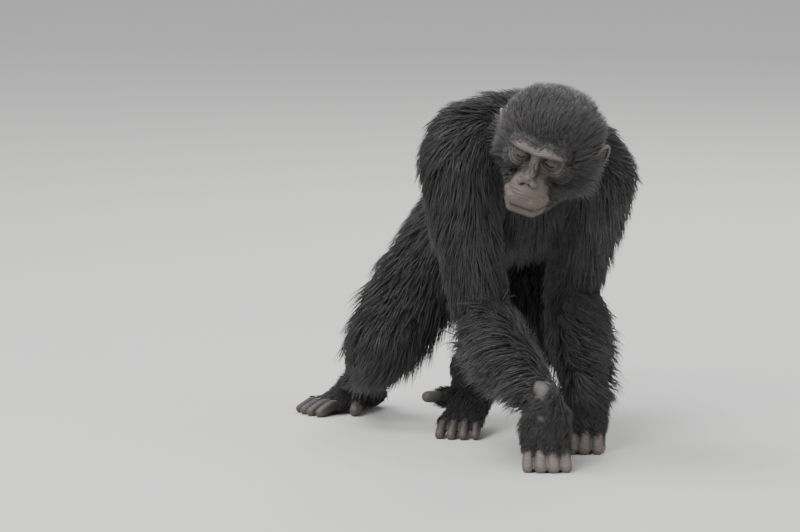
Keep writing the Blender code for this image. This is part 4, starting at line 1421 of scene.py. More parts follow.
@dataclass(frozen=True)
class SkinFinish:
    """Bare skin: dark grey-brown, pinkish on muzzle and brow, greyer on nose and knuckles, with painted
    shade in the folds round the eyes, in the knuckles' creases and between the fingers.

    Each layer is a marking, how strong its colour is, and how much more with the mottle.
    """

    covered: Colour = (0.014, 0.013, 0.014)
    dark: Colour = (0.062, 0.053, 0.048)
    muzzle: Colour = (0.090, 0.068, 0.059)
    brow: Colour = (0.165, 0.145, 0.136)
    nose: Colour = (0.085, 0.075, 0.070)
    knuckle: Colour = (0.170, 0.143, 0.134)
    worn: Colour = (0.094, 0.092, 0.086)
    # Painted shade in the folds under the eyes, in the eye sockets and in the knuckles' creases.
    fold: Colour = (0.020, 0.017, 0.016)
    foot: Colour = (0.022, 0.020, 0.020)
    freckle: Colour = (0.055, 0.040, 0.036)
    layers: tuple[tuple[str, float, float], ...] = (
        ("muzzle", 0.55, 0.8), ("brow", 0.30, 0.9), ("nose", 0.55, 0.0), ("knuckle", 0.25, 0.9),
        ("foot", 0.75, 0.4), ("worn", 0.05, 1.4), ("fold", 0.70, 0.0))

    def build(self) -> bpy.types.Material:
        """Mix the skin.

        Returns:
            The material.
        """
        mix = Recipe("bare_skin", {"Specular IOR Level": 0.45})
        mottle, fine = mix.noise(55.0, 4.0), mix.noise(240.0, 3.0)
        colour = mix.mix((mottle * 0.8).clipped(), self.dark, tuple(part * 1.7 for part in self.dark))
        for name, base, gain in self.layers:
            share = (mix.kept(name) * (base + mottle * gain)).clipped()
            colour = mix.mix(share, colour, getattr(self, name))
        # Painted shade in the troughs of the knuckles' creases, which also feed the bump.
        crease = mix.creases(0.0064, 14.0) * mix.kept("knuckle")
        colour = mix.mix(((0.0 - crease - 0.45) * 0.50).clipped(), colour, self.fold)
        spots = mix.cells(330.0).above(0.22)
        colour = mix.mix(((1.0 - spots) * 0.35 * fine).clipped(), colour, self.freckle)
        colour = mix.mix((mix.kept("bare") * 1.3).clipped(), self.covered, colour)
        mix.bump(mix.noise(420.0, 4.0) * 0.6 + mix.cells(520.0) * 0.5 + mottle * 0.4 + crease * 0.4, 0.0007)
        return mix.finish(colour, 0.44 + mottle * 0.22)


@dataclass(frozen=True)
class EarFinish:
    """Thin bare ears: tan-grey at the rim, with painted shade in the cup."""

    rim: Colour = (0.120, 0.102, 0.088)
    # Painted shade in the ear's hollow.
    cup: Colour = (0.034, 0.028, 0.025)

    def build(self) -> bpy.types.Material:
        """Mix the ears' skin.

        Returns:
            The material.
        """
        mix = Recipe("ear_skin", {"Specular IOR Level": 0.45})
        mottle = mix.noise(90.0, 4.0)
        colour = mix.mix((mix.kept("rim") * (0.45 + mottle * 0.8)).clipped(), self.cup, self.rim)
        mix.bump(mix.noise(300.0, 4.0), 0.0006)
        return mix.finish(colour, 0.42 + mottle * 0.2)


@dataclass(frozen=True)
class EyeFinish:
    """A wet dark eye: black pupil, red-brown iris, dusky white round it."""

    pupil: Colour = (0.002, 0.002, 0.002)
    iris: Colour = (0.034, 0.015, 0.008)
    white: Colour = (0.030, 0.021, 0.016)

    def build(self) -> bpy.types.Material:
        """Mix the eye.

        Returns:
            The material.
        """
        mix = Recipe("eye", {"Roughness": 0.06, "Specular IOR Level": 0.6, "Coat Roughness": 0.03})
        away = mix.kept("from_pupil") + (mix.noise(500.0, 3.0) - 0.5) * 0.02
        streaks = mix.noise(900.0, 2.0)
        iris = mix.mix((streaks * 0.9).clipped(), self.iris, tuple(part * 0.35 for part in self.iris))
        colour = mix.mix(away.above(0.40), self.pupil, iris)
        return mix.finish(mix.mix(away.above(0.92), colour, self.white))


@dataclass(frozen=True)
class NailFinish:
    """Horn of the nails, streaked with darker horn."""

    horn: Colour = (0.240, 0.185, 0.150)
    dark: Colour = (0.080, 0.060, 0.052)

    def build(self) -> bpy.types.Material:
        """Mix the horn.

        Returns:
            The material.
        """
        mix = Recipe("nail", {"Specular IOR Level": 0.5})
        streaks = mix.noise(380.0, 3.0)
        mix.bump(mix.noise(700.0, 2.0), 0.0002)
        return mix.finish(mix.mix((streaks * 1.1).clipped(), self.horn, self.dark), 0.28 + streaks * 0.2)


@dataclass(frozen=True)
class HairZone:
    """A length of the body under one lie of hair, with lengths and heights at its two ends."""

    piece: str
    start: Vector
    end: Vector
    girth: float
    lie: Vector
    lengths: tuple[float, float]
    stands: tuple[float, float]
    density: float
    width: float = 0.0020
    halved: bool = False


@dataclass
class Coat:
    """The coat: fine closed tufts rooted on the skin, lying along the body in overlapping rows.

    A zone's density is in tufts for each square centimetre. A halved zone is parted along the
    midline into a piece for each side. The patch is the breadth of a tuft's own place on the map.
    """

    pose: Pose
    markings: Markings
    skin: bpy.types.Object
    seed: int = 7
    candidates: int = 620000
    clump_every: int = 14
    clump_pull: float = 0.42
    clump_reach: float = 0.016
    strides: tuple[float, ...] = (0.36, 0.36, 0.28)
    rises: tuple[float, ...] = (0.42, 0.80, 1.05)
    swell: tuple[float, ...] = (0.80, 1.0, 0.72)
    patch: float = 0.003
    zone_falloff: float = 5.0
    flank_droop: float = 0.55
    sway: float = 0.16
    scatter: float = 0.13
    root_depth: float = 0.0012
    fringe: float = 0.60
    fine_width: float = 0.0016
    fine_pull: float = 0.60
    zones: list[HairZone] = field(default_factory=list)

    def lay_out(self) -> None:
        """List the zones of hair from the joints."""
        pose, head = self.pose, self.pose.head
        crown, cheek = head.place @ Vector((0, 0.030, -0.005)), head.place @ Vector((0, -0.045, -0.050))
        waist, loin = between(pose.chest, pose.belly, 0.58), between(pose.belly, pose.pelvis, 0.52)
        flank = Vector((0, 1, -0.35))
        self.zones = [
            HairZone("head", crown, cheek, 0.090, flank, (0.030, 0.016), (0.018, 0.010), 26.0, 0.0012, True),
            HairZone("neck", pose.neck + Vector((0, 0.02, 0)), head.centre + Vector((0, 0.05, -0.03)),
                     0.080, flank, (0.058, 0.044), (0.022, 0.020), 9.0, 0.0018),
            HairZone("chest", pose.chest, between(pose.chest, waist, 0.9), 0.122, flank,
                     (0.056, 0.056), (0.020, 0.019), 5.2, 0.0020, True),
            HairZone("belly", waist, between(waist, loin, 0.85), 0.115, flank,
                     (0.056, 0.056), (0.018, 0.018), 4.4),
            HairZone("rump", loin, pose.pelvis, 0.100, Vector((0, 1, -0.55)),
                     (0.056, 0.052), (0.018, 0.018), 4.4),
        ]
        for arm in pose.arms:
            self.zones += self.arm_zones(arm)
        for leg in pose.legs:
            self.zones += self.leg_zones(leg)

    def arm_zones(self, arm: Arm) -> list[HairZone]:
        """The zones of one shoulder, arm and hand: outwards, down, back from the wrist, and down the hand.

        Args:
            arm: The arm.

        Returns:
            The zones.
        """
        name = "arm_" + arm.side.label
        down, up = (arm.elbow - arm.shoulder).normalized(), (arm.elbow - arm.wrist).normalized()
        outward = Vector((arm.side.value, 0, 0))
        across = up * 0.35 + Vector((0, 0.20, -0.75)) - arm.thumb_way * 0.75
        stands = (0.023, 0.029) if arm.side is Side.RIGHT else (0.032, 0.029)
        return [
            HairZone("chest", self.pose.withers, arm.top, 0.066, outward * 0.75 + Vector((0, 0.65, -0.45)),
                     (0.060, 0.064), (0.020, 0.021), 5.2, 0.0020, True),
            HairZone(name, arm.shoulder, between(arm.shoulder, arm.elbow, 0.35), 0.060,
                     down + outward * 0.28 + Vector((0, 0.35, 0)), (0.064, 0.064), (0.022, 0.020), 5.6),
            HairZone(name, between(arm.shoulder, arm.elbow, 0.4), between(arm.shoulder, arm.elbow, 0.97),
                     0.047, down + Vector((0, 0.22, 0)), (0.058, 0.064), (0.017, 0.019), 5.8),
            HairZone(name, arm.wrist + UP * 0.012, between(arm.wrist, arm.elbow, 0.97),
                     0.040, across, (0.056, 0.070), stands, 6.4),
            HairZone("hand_" + arm.side.label, arm.wrist - UP * 0.004,
                     Vector((arm.wrist.x, arm.wrist.y, 0.05)), 0.036, -UP - arm.thumb_way * 0.80,
                     (0.042, 0.020), (0.0140, 0.0060), 22.0, 0.0011),
        ]

    def leg_zones(self, leg: Leg) -> list[HairZone]:
        """The zones of one hip, leg and foot.

        Args:
            leg: The leg.

        Returns:
            The zones.
        """
        name, foot = "leg_" + leg.side.label, "foot_" + leg.side.label
        down, on = (leg.knee - leg.hip).normalized(), (leg.ankle - leg.knee).normalized()
        return [
            HairZone("rump", leg.hip + Vector((0, 0.02, 0)), between(leg.hip, leg.knee, 0.2), 0.078,
                     down + Vector((0, 0.25, 0)), (0.058, 0.060), (0.019, 0.021), 4.4),
            HairZone(name, between(leg.hip, leg.knee, 0.25), between(leg.hip, leg.knee, 0.95), 0.066,
                     down + Vector((0, 0.15, -0.25)), (0.066, 0.062), (0.031, 0.027), 5.0),
            HairZone(name, leg.knee, between(leg.knee, leg.ankle, 0.92), 0.044, on + Vector((0, 0, -0.40)),
                     (0.056, 0.030), (0.021, 0.009), 6.4),
            HairZone(foot, between(leg.ankle, leg.heel, 0.3), between(leg.heel, leg.ball, 1.05),
                     0.030, (leg.ball - leg.heel).normalized(),
                     (0.034, 0.016), (0.0120, 0.0045), 20.0, 0.0012),
            HairZone(foot, leg.big_toe_root, leg.big_toe,
                     0.020, (leg.big_toe - leg.big_toe_root).normalized(),
                     (0.026, 0.012), (0.0100, 0.0040), 24.0, 0.0012),
        ]

    def roots(self, dice: np.random.Generator) -> tuple[np.ndarray, np.ndarray, float]:
        """Scatter candidate roots evenly over the skin.

        Args:
            dice: The seeded source of chance.

        Returns:
            Their places, the skin's directions there, and its area.
        """
        mesh = self.skin.data
        mesh.calc_loop_triangles()
        corners = np.empty(len(mesh.loop_triangles) * 3, np.int32)
        mesh.loop_triangles.foreach_get("vertices", corners)
        corners = corners.reshape(-1, 3)
        places, normals = vertices_of(mesh), normals_of(mesh)
        first, second, third = (places[corners[:, k]] for k in range(3))
        areas = np.linalg.norm(np.cross(second - first, third - first), axis=1) / 2
        log.info("skin area %.3f square metres", areas.sum())
        picks = dice.choice(len(corners), self.candidates, p=areas / areas.sum())
        across, along = dice.random(self.candidates), dice.random(self.candidates)
        over = across + along > 1
        across[over], along[over] = 1 - across[over], 1 - along[over]
        shares = np.stack((1 - across - along, across, along), axis=1)[:, :, None]
        spots = (places[corners[picks]] * shares).sum(axis=1)
        return spots, unit((normals[corners[picks]] * shares).sum(axis=1)), float(areas.sum())

    def zone_facts(self, spots: np.ndarray, normals: np.ndarray) -> dict[str, np.ndarray]:
        """Weigh the zones at each root.

        Args:
            spots: The roots.
            normals: The skin's directions there.

        Returns:
            The lie, length, stand, width, density and main zone at each root.
        """
        weights, shares = [], []
        for zone in self.zones:
            start, run = np.array(zone.start), np.array(zone.end - zone.start)
            share = np.clip(share_along(spots, start, run), 0, 1)
            away = np.linalg.norm(spots - start - share[:, None] * run, axis=1) / zone.girth
            weights.append(np.exp(-self.zone_falloff * away * away))
            shares.append(share)
        weights = np.array(weights)
        main = weights.argmax(axis=0)
        weights /= weights.sum(axis=0)
        flank = 1.0 - np.abs(normals[:, 2])
        lie = np.zeros_like(spots)
        length, stand, width, density = np.zeros((4, len(spots)))
        for weight, share, zone in zip(weights, shares, self.zones):
            way = np.tile(np.array(zone.lie.normalized()), (len(spots), 1))
            reach = zone.lengths[0] + (zone.lengths[1] - zone.lengths[0]) * share
            height = zone.stands[0] + (zone.stands[1] - zone.stands[0]) * share
            if zone.piece == "head":
                way, reach, height = self.head_lie(spots), self.head_length(spots), self.head_stand(spots)
            if zone.piece in ("chest", "belly", "rump"):
                way[:, 2] -= self.flank_droop * flank
            lie += way * weight[:, None]
            length += reach * weight
            stand += height * weight
            width += zone.width * weight
            density += zone.density * weight
        return {"lie": lie, "length": length, "stand": stand,
                "width": width, "density": density, "main": main}

    def head_lie(self, spots: np.ndarray) -> np.ndarray:
        """Hair on the head runs away from the face, and down behind.

        Args:
            spots: The roots.

        Returns:
            One direction for each root.
        """
        own = self.pose.head.own(spots)
        way = unit(own - (0, -0.100, -0.035))
        way[:, 2] -= 0.8 * rise(own[:, 1], 0.02, 0.09)
        way[:, 2] -= 0.6 * rise(own[:, 2], -0.02, -0.07)
        return self.pose.head.outward(unit(way))

    def head_length(self, spots: np.ndarray) -> np.ndarray:
        """Hair on the head is shortest at the brow and longest on the nape and cheeks.

        Args:
            spots: The roots.

        Returns:
            One length for each root.
        """
        own = self.pose.head.own(spots)
        reach = 0.018 + 0.022 * rise(own[:, 1], -0.064, 0.000) + 0.010 * rise(own[:, 1], 0.01, 0.08)
        reach += 0.020 * rise(own[:, 2], 0.000, -0.060) * rise(own[:, 1], -0.065, -0.010)
        return reach * (0.40 + 0.60 * rise(self.markings.face_reach(spots), 0.95, 1.55))

    def head_stand(self, spots: np.ndarray) -> np.ndarray:
        """Hair on the head lies flat at the brow and stands higher over crown and cheeks.

        Args:
            spots: The roots.

        Returns:
            One height for each root.
        """
        own = self.pose.head.own(spots)
        flank = rise(np.abs(own[:, 0]), 0.030, 0.075) * (0.7 + 0.9 * rise(own[:, 2], 0.005, -0.050))
        height = 0.006 + (0.007 + 0.009 * flank) * rise(own[:, 1], -0.070, -0.010)
        return height * (0.30 + 0.70 * rise(self.markings.face_reach(spots), 0.95, 1.55))

    def grow(self) -> list[bpy.types.Object]:
        """Root, lay and shape every tuft.

        Returns:
            The coat's pieces.
        """
        self.lay_out()
        dice = np.random.default_rng(self.seed)
        spots, normals, area = self.roots(dice)
        facts = self.zone_facts(spots, normals)
        chance = facts["density"] * area * 1e4 / self.candidates * (1.0 - self.markings.bare(spots))
        chance *= rise(spots[:, 2], 0.004, 0.010)
        keep = dice.random(len(spots)) < chance
        spots, normals = spots[keep], normals[keep]
        facts = {name: values[keep] for name, values in facts.items()}
        log.info("tufts: %d", len(spots))
        stations, ups = self.lay(spots, normals, facts, dice)
        return self.pieces(spots, stations, ups, facts, dice)

    def lay(self, spots: np.ndarray, normals: np.ndarray, facts: dict, dice: np.random.Generator) -> tuple:
        """Lay each tuft along the body, station by station.

        Args:
            spots: The roots.
            normals: The skin's directions there.
            facts: What the zones give at each root.
            dice: The seeded source of chance.

        Returns:
            The stations of each tuft, and the up direction at each.
        """
        count = len(spots)
        short = 0.30 + 0.70 * rise(self.markings.worn_reach(spots), 0.95, 2.4)
        facts["length"], facts["stand"] = facts["length"] * short, facts["stand"] * short
        facts["lie"] = unit(facts["lie"])
        sway = np.stack([swirl(spots, 0.11, seed) for seed in (21, 22, 23)], axis=1)
        lie = unit(facts["lie"] + self.sway * sway) + dice.normal(scale=self.scatter, size=(count, 3))
        level = unit(lie - normals * (lie * normals).sum(axis=1, keepdims=True))
        length = facts["length"] * dice.uniform(0.70, 1.18, count) * (1.0 + 0.12 * swirl(spots, 0.09, 24))
        stand = facts["stand"] * dice.uniform(0.35, 1.25, count) * (1.0 + 0.25 * swirl(spots, 0.06, 25))
        off_edge = np.clip((facts["lie"] * normals).sum(axis=1), -0.25, 1.0)
        stand *= 1.0 + self.fringe * off_edge * rise(facts["length"], 0.014, 0.030) * (facts["main"] > 0)
        heights = stand[:, None] * np.array(self.rises)
        tree = BVHTree.FromPolygons([vert.co for vert in self.skin.data.vertices],
                                    [tuple(face.vertices) for face in self.skin.data.polygons])
        stations = np.empty((count, len(self.strides) + 1, 3))
        ups = np.empty_like(stations)
        stations[:, 0] = spots - normals * self.root_depth
        ups[:, 0] = normals
        find = tree.find_nearest
        feet, ways, up = spots.copy(), level.copy(), normals.copy()
        for number, stride in enumerate(self.strides):
            ahead = feet + ways * (length * stride)[:, None]
            if number < len(self.strides) - 1:
                found = [find(row) for row in ahead.tolist()]
                feet = np.array([hit[0] for hit in found])
                up = unit(0.5 * up + 0.5 * np.array([hit[1] for hit in found]))
            else:
                feet = ahead
            ways = unit(ways - up * (ways * up).sum(axis=1, keepdims=True))
            stations[:, number + 1] = feet + up * heights[:, number][:, None]
            ups[:, number + 1] = up
        hang = length * rise(facts["length"], 0.030, 0.060) * (0.10 + 0.30 * rise(-normals[:, 2], -0.1, 0.8))
        stations[:, :, 2] -= hang[:, None] * np.linspace(0, 1, stations.shape[1]) ** 2
        pull = np.where(facts["width"] < self.fine_width, self.fine_pull, 1.0) * self.clump_pull
        facts["lock"] = self.gather(spots, stations, pull)
        stations[:, 1:, 2] = np.maximum(stations[:, 1:, 2], 0.0015)
        return stations, ups

    def gather(self, spots: np.ndarray, stations: np.ndarray, pull: np.ndarray) -> np.ndarray:
        """Draw the tips together in clumps, each towards a leader.

        Args:
            spots: The roots.
            stations: The stations of each tuft, which change.
            pull: How far each tip is drawn, as a share of the way.

        Returns:
            The number of each tuft's leader.
        """
        leaders = np.arange(0, len(spots), self.clump_every)
        tree = KDTree(len(leaders))
        for number in leaders:
            tree.insert(spots[number], int(number))
        tree.balance()
        chosen = np.array([tree.find(row)[1] for row in spots.tolist()])
        near = np.linalg.norm(spots - spots[chosen], axis=1) < self.clump_reach
        pulls = (pull * near)[:, None] * np.linspace(0, 1, stations.shape[1]) ** 1.3
        stations += (stations[chosen] - stations) * pulls[:, :, None]
        return chosen

    def pieces(self, spots: np.ndarray, stations: np.ndarray, ups: np.ndarray, facts: dict,
               dice: np.random.Generator) -> list[bpy.types.Object]:
        """Shape the tufts and join them, piece by piece.

        Args:
            spots: The roots.
            stations: The stations of each tuft.
            ups: The up direction at each station.
            facts: What the zones give at each root.
            dice: The seeded source of chance.

        Returns:
            The pieces.
        """
        width = facts["width"] * dice.uniform(0.65, 1.25, len(spots))
        tone = dice.random(len(spots))
        tone = (0.45 * tone + 0.55 * tone[facts["lock"]]) ** 1.6
        # Greying and painted sheen, on the head's hair and half as much on the neck's.
        silver = self.markings.silver(spots) * rise(facts["main"].astype(float), 1.5, 0.5)
        head = np.array([zone.piece == "head" for zone in self.zones])[facts["main"]]
        left = np.where(head, self.pose.head.own(spots)[:, 0], spots[:, 0]) > 0
        parts = np.array([zone.piece for zone in self.zones])[facts["main"]]
        halved = np.array([zone.halved for zone in self.zones])[facts["main"]]
        parts = np.where(halved, np.char.add(parts, np.where(left, "_left", "_right")), parts)
        made = []
        for name in np.unique(parts):
            rows = np.flatnonzero(parts == name)
            patches = self.unwrap(spots[rows], facts["main"][rows])
            mesh = self.tufts("coat_" + name, stations[rows], ups[rows], width[rows], patches)
            each = len(mesh.vertices) // max(len(rows), 1)
            store(mesh, "tone", np.repeat(tone[rows], each))
            store(mesh, "silver", np.repeat(silver[rows], each))
            made.append(linked("coat_" + name, mesh))
            log.info("coat_%s: %d tufts, %d faces", name, len(rows), len(mesh.polygons))
        return made

    def unwrap(self, spots: np.ndarray, main: np.ndarray) -> np.ndarray:
        """Roll the skin out round each zone's own length.

        Args:
            spots: The roots of one piece.
            main: Each root's zone. Each zone gets a strip of its own.

        Returns:
            A place from 0 to 1 across and up the piece's map for each root.
        """
        found = np.zeros((len(spots), 2))
        members = np.unique(main)
        for strip, number in enumerate(members):
            zone = self.zones[number]
            here = main == number
            turn = np.array(turn_along(zone.end - zone.start, Vector((0.3, 0.1, 1.0))))
            own = (spots[here] - np.array(zone.start)) @ turn
            reach = (zone.end - zone.start).length
            round_way = (np.arctan2(own[:, 1], own[:, 0]) / (2 * math.pi) + 0.5) % 1.0
            up_way = np.clip((own[:, 2] + zone.girth) / (reach + 2 * zone.girth), 0, 1)
            found[here, 0] = (strip + 0.02 + 0.96 * round_way) / len(members)
            found[here, 1] = 0.01 + 0.97 * up_way
        return found * (1 - self.patch)

    def tufts(self, name: str, stations: np.ndarray, ups: np.ndarray, width: np.ndarray,
              patches: np.ndarray) -> bpy.types.Mesh:
        """Join many closed three-sided tufts in one mesh.

        Args:
            name: The mesh's name.
            stations: The middle line of each tuft.
            ups: The up direction along it.
            width: How wide each tuft is.
            patches: Each tuft's place on the piece's map.

        Returns:
            The mesh.
        """
        count, steps = stations.shape[:2]
        run = np.gradient(stations, axis=1)
        across = unit(np.cross(run, ups))
        lift = unit(np.cross(across, run))
        rings = steps - 1
        swell = np.array(self.swell)[None, :rings, None] * width[:, None, None]
        body = stations[:, :rings]
        sides = np.stack((body - across[:, :rings] * swell / 2, body + across[:, :rings] * swell / 2,
                          body + lift[:, :rings] * swell * 0.45), axis=2)
        places = np.concatenate((sides.reshape(count, rings * 3, 3), stations[:, -1:]), axis=1)
        faces = [(0, 1, 2)]
        for ring in range(rings - 1):
            for side in range(3):
                low, high = ring * 3, ring * 3 + 3
                other = (side + 1) % 3
                faces += [(low + side, high + side, high + other), (low + side, high + other, low + other)]
        top = rings * 3 - 3
        faces += [(top + side, rings * 3, top + (side + 1) % 3) for side in range(3)]
        each = rings * 3 + 1
        corners = (np.array(faces)[None] + (np.arange(count) * each)[:, None, None]).reshape(-1)
        mesh = bpy.data.meshes.new(name)
        mesh.vertices.add(count * each)
        mesh.vertices.foreach_set("co", places.astype(np.float32).ravel())
        mesh.loops.add(len(corners))
        mesh.loops.foreach_set("vertex_index", corners.astype(np.int32))
        mesh.polygons.add(len(corners) // 3)
        mesh.polygons.foreach_set("loop_start", np.arange(0, len(corners), 3, dtype=np.int32))
        mesh.update(calc_edges=True)
        mesh.shade_smooth()
        heights = np.concatenate((np.repeat(np.linspace(0, 0.85, rings), 3), [1.0]))
        store(mesh, "along", np.tile(heights, count))
        turns = np.concatenate((np.tile((0.0, 1.0, 0.5), rings), [0.5]))
        small = np.stack((turns, heights), axis=1)[np.array(faces).ravel()] * self.patch
        spread = (patches[:, None, :] + small[None]).reshape(-1, 2)
        sheet = mesh.uv_layers.new(name="OFBake")
        sheet.data.foreach_set("uv", spread.astype(np.float32).ravel())
        return mesh


@dataclass
class Ear:
    """One cupped ear with its folded rim."""

    pose: Pose
    side: Side
    flare: float = 13.0
    lean: float = 8.0
    rim_reach: tuple[float, float] = (0.0195, 0.0275)
    rim_steps: int = 16
    rim_radius: float = 0.0036
    fold_steps: int = 8
    fold_radius: float = 0.0026
    voxel: float = 0.0009

    def build(self) -> bpy.types.Object:
        """Model the ear and set it on the head.

        Returns:
            The ear.
        """
        clay = Clay()
        clay.lump(Vector((0, 0, 0)), (0.0062, 0.0186, 0.0256))
        out, high = self.rim_reach
        rim = []
        for step in range(self.rim_steps):
            angle = math.radians(-125 + 290 * step / (self.rim_steps - 1))
            lift = 0.006 + 0.003 * math.cos(angle)
            rim.append((Vector((lift, out * math.cos(angle), high * math.sin(angle))), self.rim_radius))
        clay.strand(*rim)
        fold = []
        for step in range(self.fold_steps):
            angle = math.radians(-60 + 150 * step / (self.fold_steps - 1))
            place = Vector((0.0052, 0.0110 * math.cos(angle) - 0.001, 0.0165 * math.sin(angle)))
            fold.append((place, self.fold_radius))
        clay.strand(*fold)
        clay.strand((Vector((0.006, -0.0135, -0.010)), 0.0040), (Vector((0.006, -0.0125, -0.001)), 0.0034))
        for height in (0.006, -0.012):
            clay.strand((Vector((-0.003, -0.009, height)), 0.010), (Vector((-0.022, -0.012, height)), 0.015))
        obj = linked("ear_skin_" + self.side.label, clay.fuse(self.voxel, 2))
        bowl = Clay()
        bowl.lump(Vector((0.0105, 0.0050, 0.0150)), (0.0085, 0.0080, 0.0085))
        bowl.lump(Vector((0.0085, -0.0050, -0.0040)), (0.0085, 0.0065, 0.0110))
        bowl.lump(Vector((0.0020, -0.0060, -0.0060)), (0.0080, 0.0045, 0.0065))
        combine(obj, [bowl.fuse(0.0010, 2)], Operation.CUT)
        own = vertices_of(obj.data)
        # The rim's colour shows here; the rest of the cup gets painted shade.
        rim_mask = rise(np.hypot(own[:, 1] / out, own[:, 2] / high), 0.62, 0.95)
        rim_mask = np.maximum(rim_mask * rise(own[:, 0], -0.006, 0.002), 0.25 * rise(own[:, 0], 0.0, 0.006))
        store(obj.data, "rim", rim_mask)
        turn = Matrix.Rotation(math.radians(-self.flare), 4, "Z")
        turn = turn @ Matrix.Rotation(math.radians(self.lean), 4, "Y")
        mirror = Matrix.Diagonal((float(self.side.value), 1.0, 1.0, 1.0))
        obj.data.transform(self.pose.head.place @ mirror @ Matrix.Translation(self.pose.head.ear) @ turn)
        if self.side is Side.RIGHT:
            obj.data.flip_normals()
        obj.data.shade_smooth()
        return obj


@dataclass
class Eye:
    """One eyeball with its cornea, looking down and ahead."""

    pose: Pose
    side: Side
    iris_angle: float = 34.0
    gaze_down: float = 12.0

    def build(self) -> bpy.types.Object:
        """Model the eyeball in its socket.

        Returns:
            The eyeball.
        """
        head = self.pose.head
        bm = bmesh.new()
        bmesh.ops.create_icosphere(bm, subdivisions=5, radius=head.eye_radius)
        obj = linked("eyeball_" + self.side.label, mesh_of(bm, "eyeball"))
        down = math.radians(self.gaze_down)
        gaze = np.array((0.10 * -self.side.value, -math.cos(down), -math.sin(down)))
        gaze /= np.linalg.norm(gaze)
        own = vertices_of(obj.data)
        angle = np.degrees(np.arccos(np.clip(unit(own) @ gaze, -1, 1)))
        store(obj.data, "from_pupil", angle / self.iris_angle)
        own *= (1.0 + 0.045 * rise(angle, self.iris_angle, 0.0))[:, None]
        move_vertices(obj.data, own)
        spot = Vector((self.side.value * head.eye.x, head.eye.y, head.eye.z))
        obj.data.transform(head.place @ Matrix.Translation(spot))
        obj.data.shade_smooth()
        return obj


@dataclass
class Nails:
    """The nails of the fingers and toes, as thin curved plates set into the skin."""

    pose: Pose
    flesh: Flesh
    length: float = 0.0125
    crown: float = 0.34
    thick: float = 0.0009

    def plate(self, bm: bmesh.types.BMesh, spot: Vector, ahead: Vector, up: Vector, breadth: float) -> None:
        """Add one nail.

        Args:
            bm: The bmesh that gathers the nails.
            spot: The nail's middle.
            ahead: The way that it grows.
            up: The way that it looks.
            breadth: How wide it is.
        """
        size = self.length / 2
        made = bmesh.ops.create_grid(bm, x_segments=8, y_segments=6, size=1.0)
        verts = made["verts"]
        faces = list({face for vert in verts for face in vert.link_faces})
        for vert in verts:
            across, along = vert.co.x, vert.co.y
            across *= 1.0 - 0.22 * max(0.0, along) ** 3
            along *= 1.0 - 0.20 * across * across * (1 if along > 0 else 0.4)
            height = -self.crown * across * across * breadth / 2 - 0.06 * along * along * size
            vert.co = Vector((across * breadth / 2, along * size, height))
        bmesh.ops.recalc_face_normals(bm, faces=faces)
        grown = bmesh.ops.solidify(bm, geom=faces, thickness=self.thick)
        whole = set(verts) | {item for item in grown["geom"] if isinstance(item, bmesh.types.BMVert)}
        side = ahead.cross(up).normalized()
        up = side.cross(ahead).normalized()
        turn = Matrix((side, ahead.normalized(), up)).transposed().to_4x4()
        bmesh.ops.transform(bm, matrix=Matrix.Translation(spot) @ turn, verts=list(whole))

    def build(self) -> bpy.types.Object:
        """Set every nail.

        Returns:
            The nails as one piece.
        """
        bm = bmesh.new()
        flesh = self.flesh
        for arm in self.pose.arms:
            for number in range(len(flesh.finger_sizes)):
                *_, tip, radius = flesh.finger(arm, number)
                self.plate(bm, tip - UP * 0.004 - arm.facing * radius * 0.72, UP, -arm.facing, radius * 1.35)
            tip, radius = flesh.thumb(arm)[1], flesh.thumb_radius
            self.plate(bm, tip + UP * 0.004 + arm.facing * radius * 0.66, -UP, arm.facing, radius * 1.3)
        for leg in self.pose.legs:
            for number in range(len(flesh.toe_sizes)):
                _, middle, tip, radius = flesh.toe(leg, number)
                ahead = (tip - middle).normalized()
                self.plate(bm, tip + UP * radius * 0.66 - ahead * 0.001, ahead, UP, radius * 1.35)
            ahead, radius = (leg.big_toe - leg.big_toe_root).normalized(), flesh.big_toe_radius
            up = (UP - ahead * ahead.z).normalized()
            self.plate(bm, leg.big_toe + up * radius * 0.66 - ahead * 0.001, ahead, up, radius * 1.45)
        obj = linked("nails", mesh_of(bm, "nails"))
        obj.data.shade_smooth()
        return obj


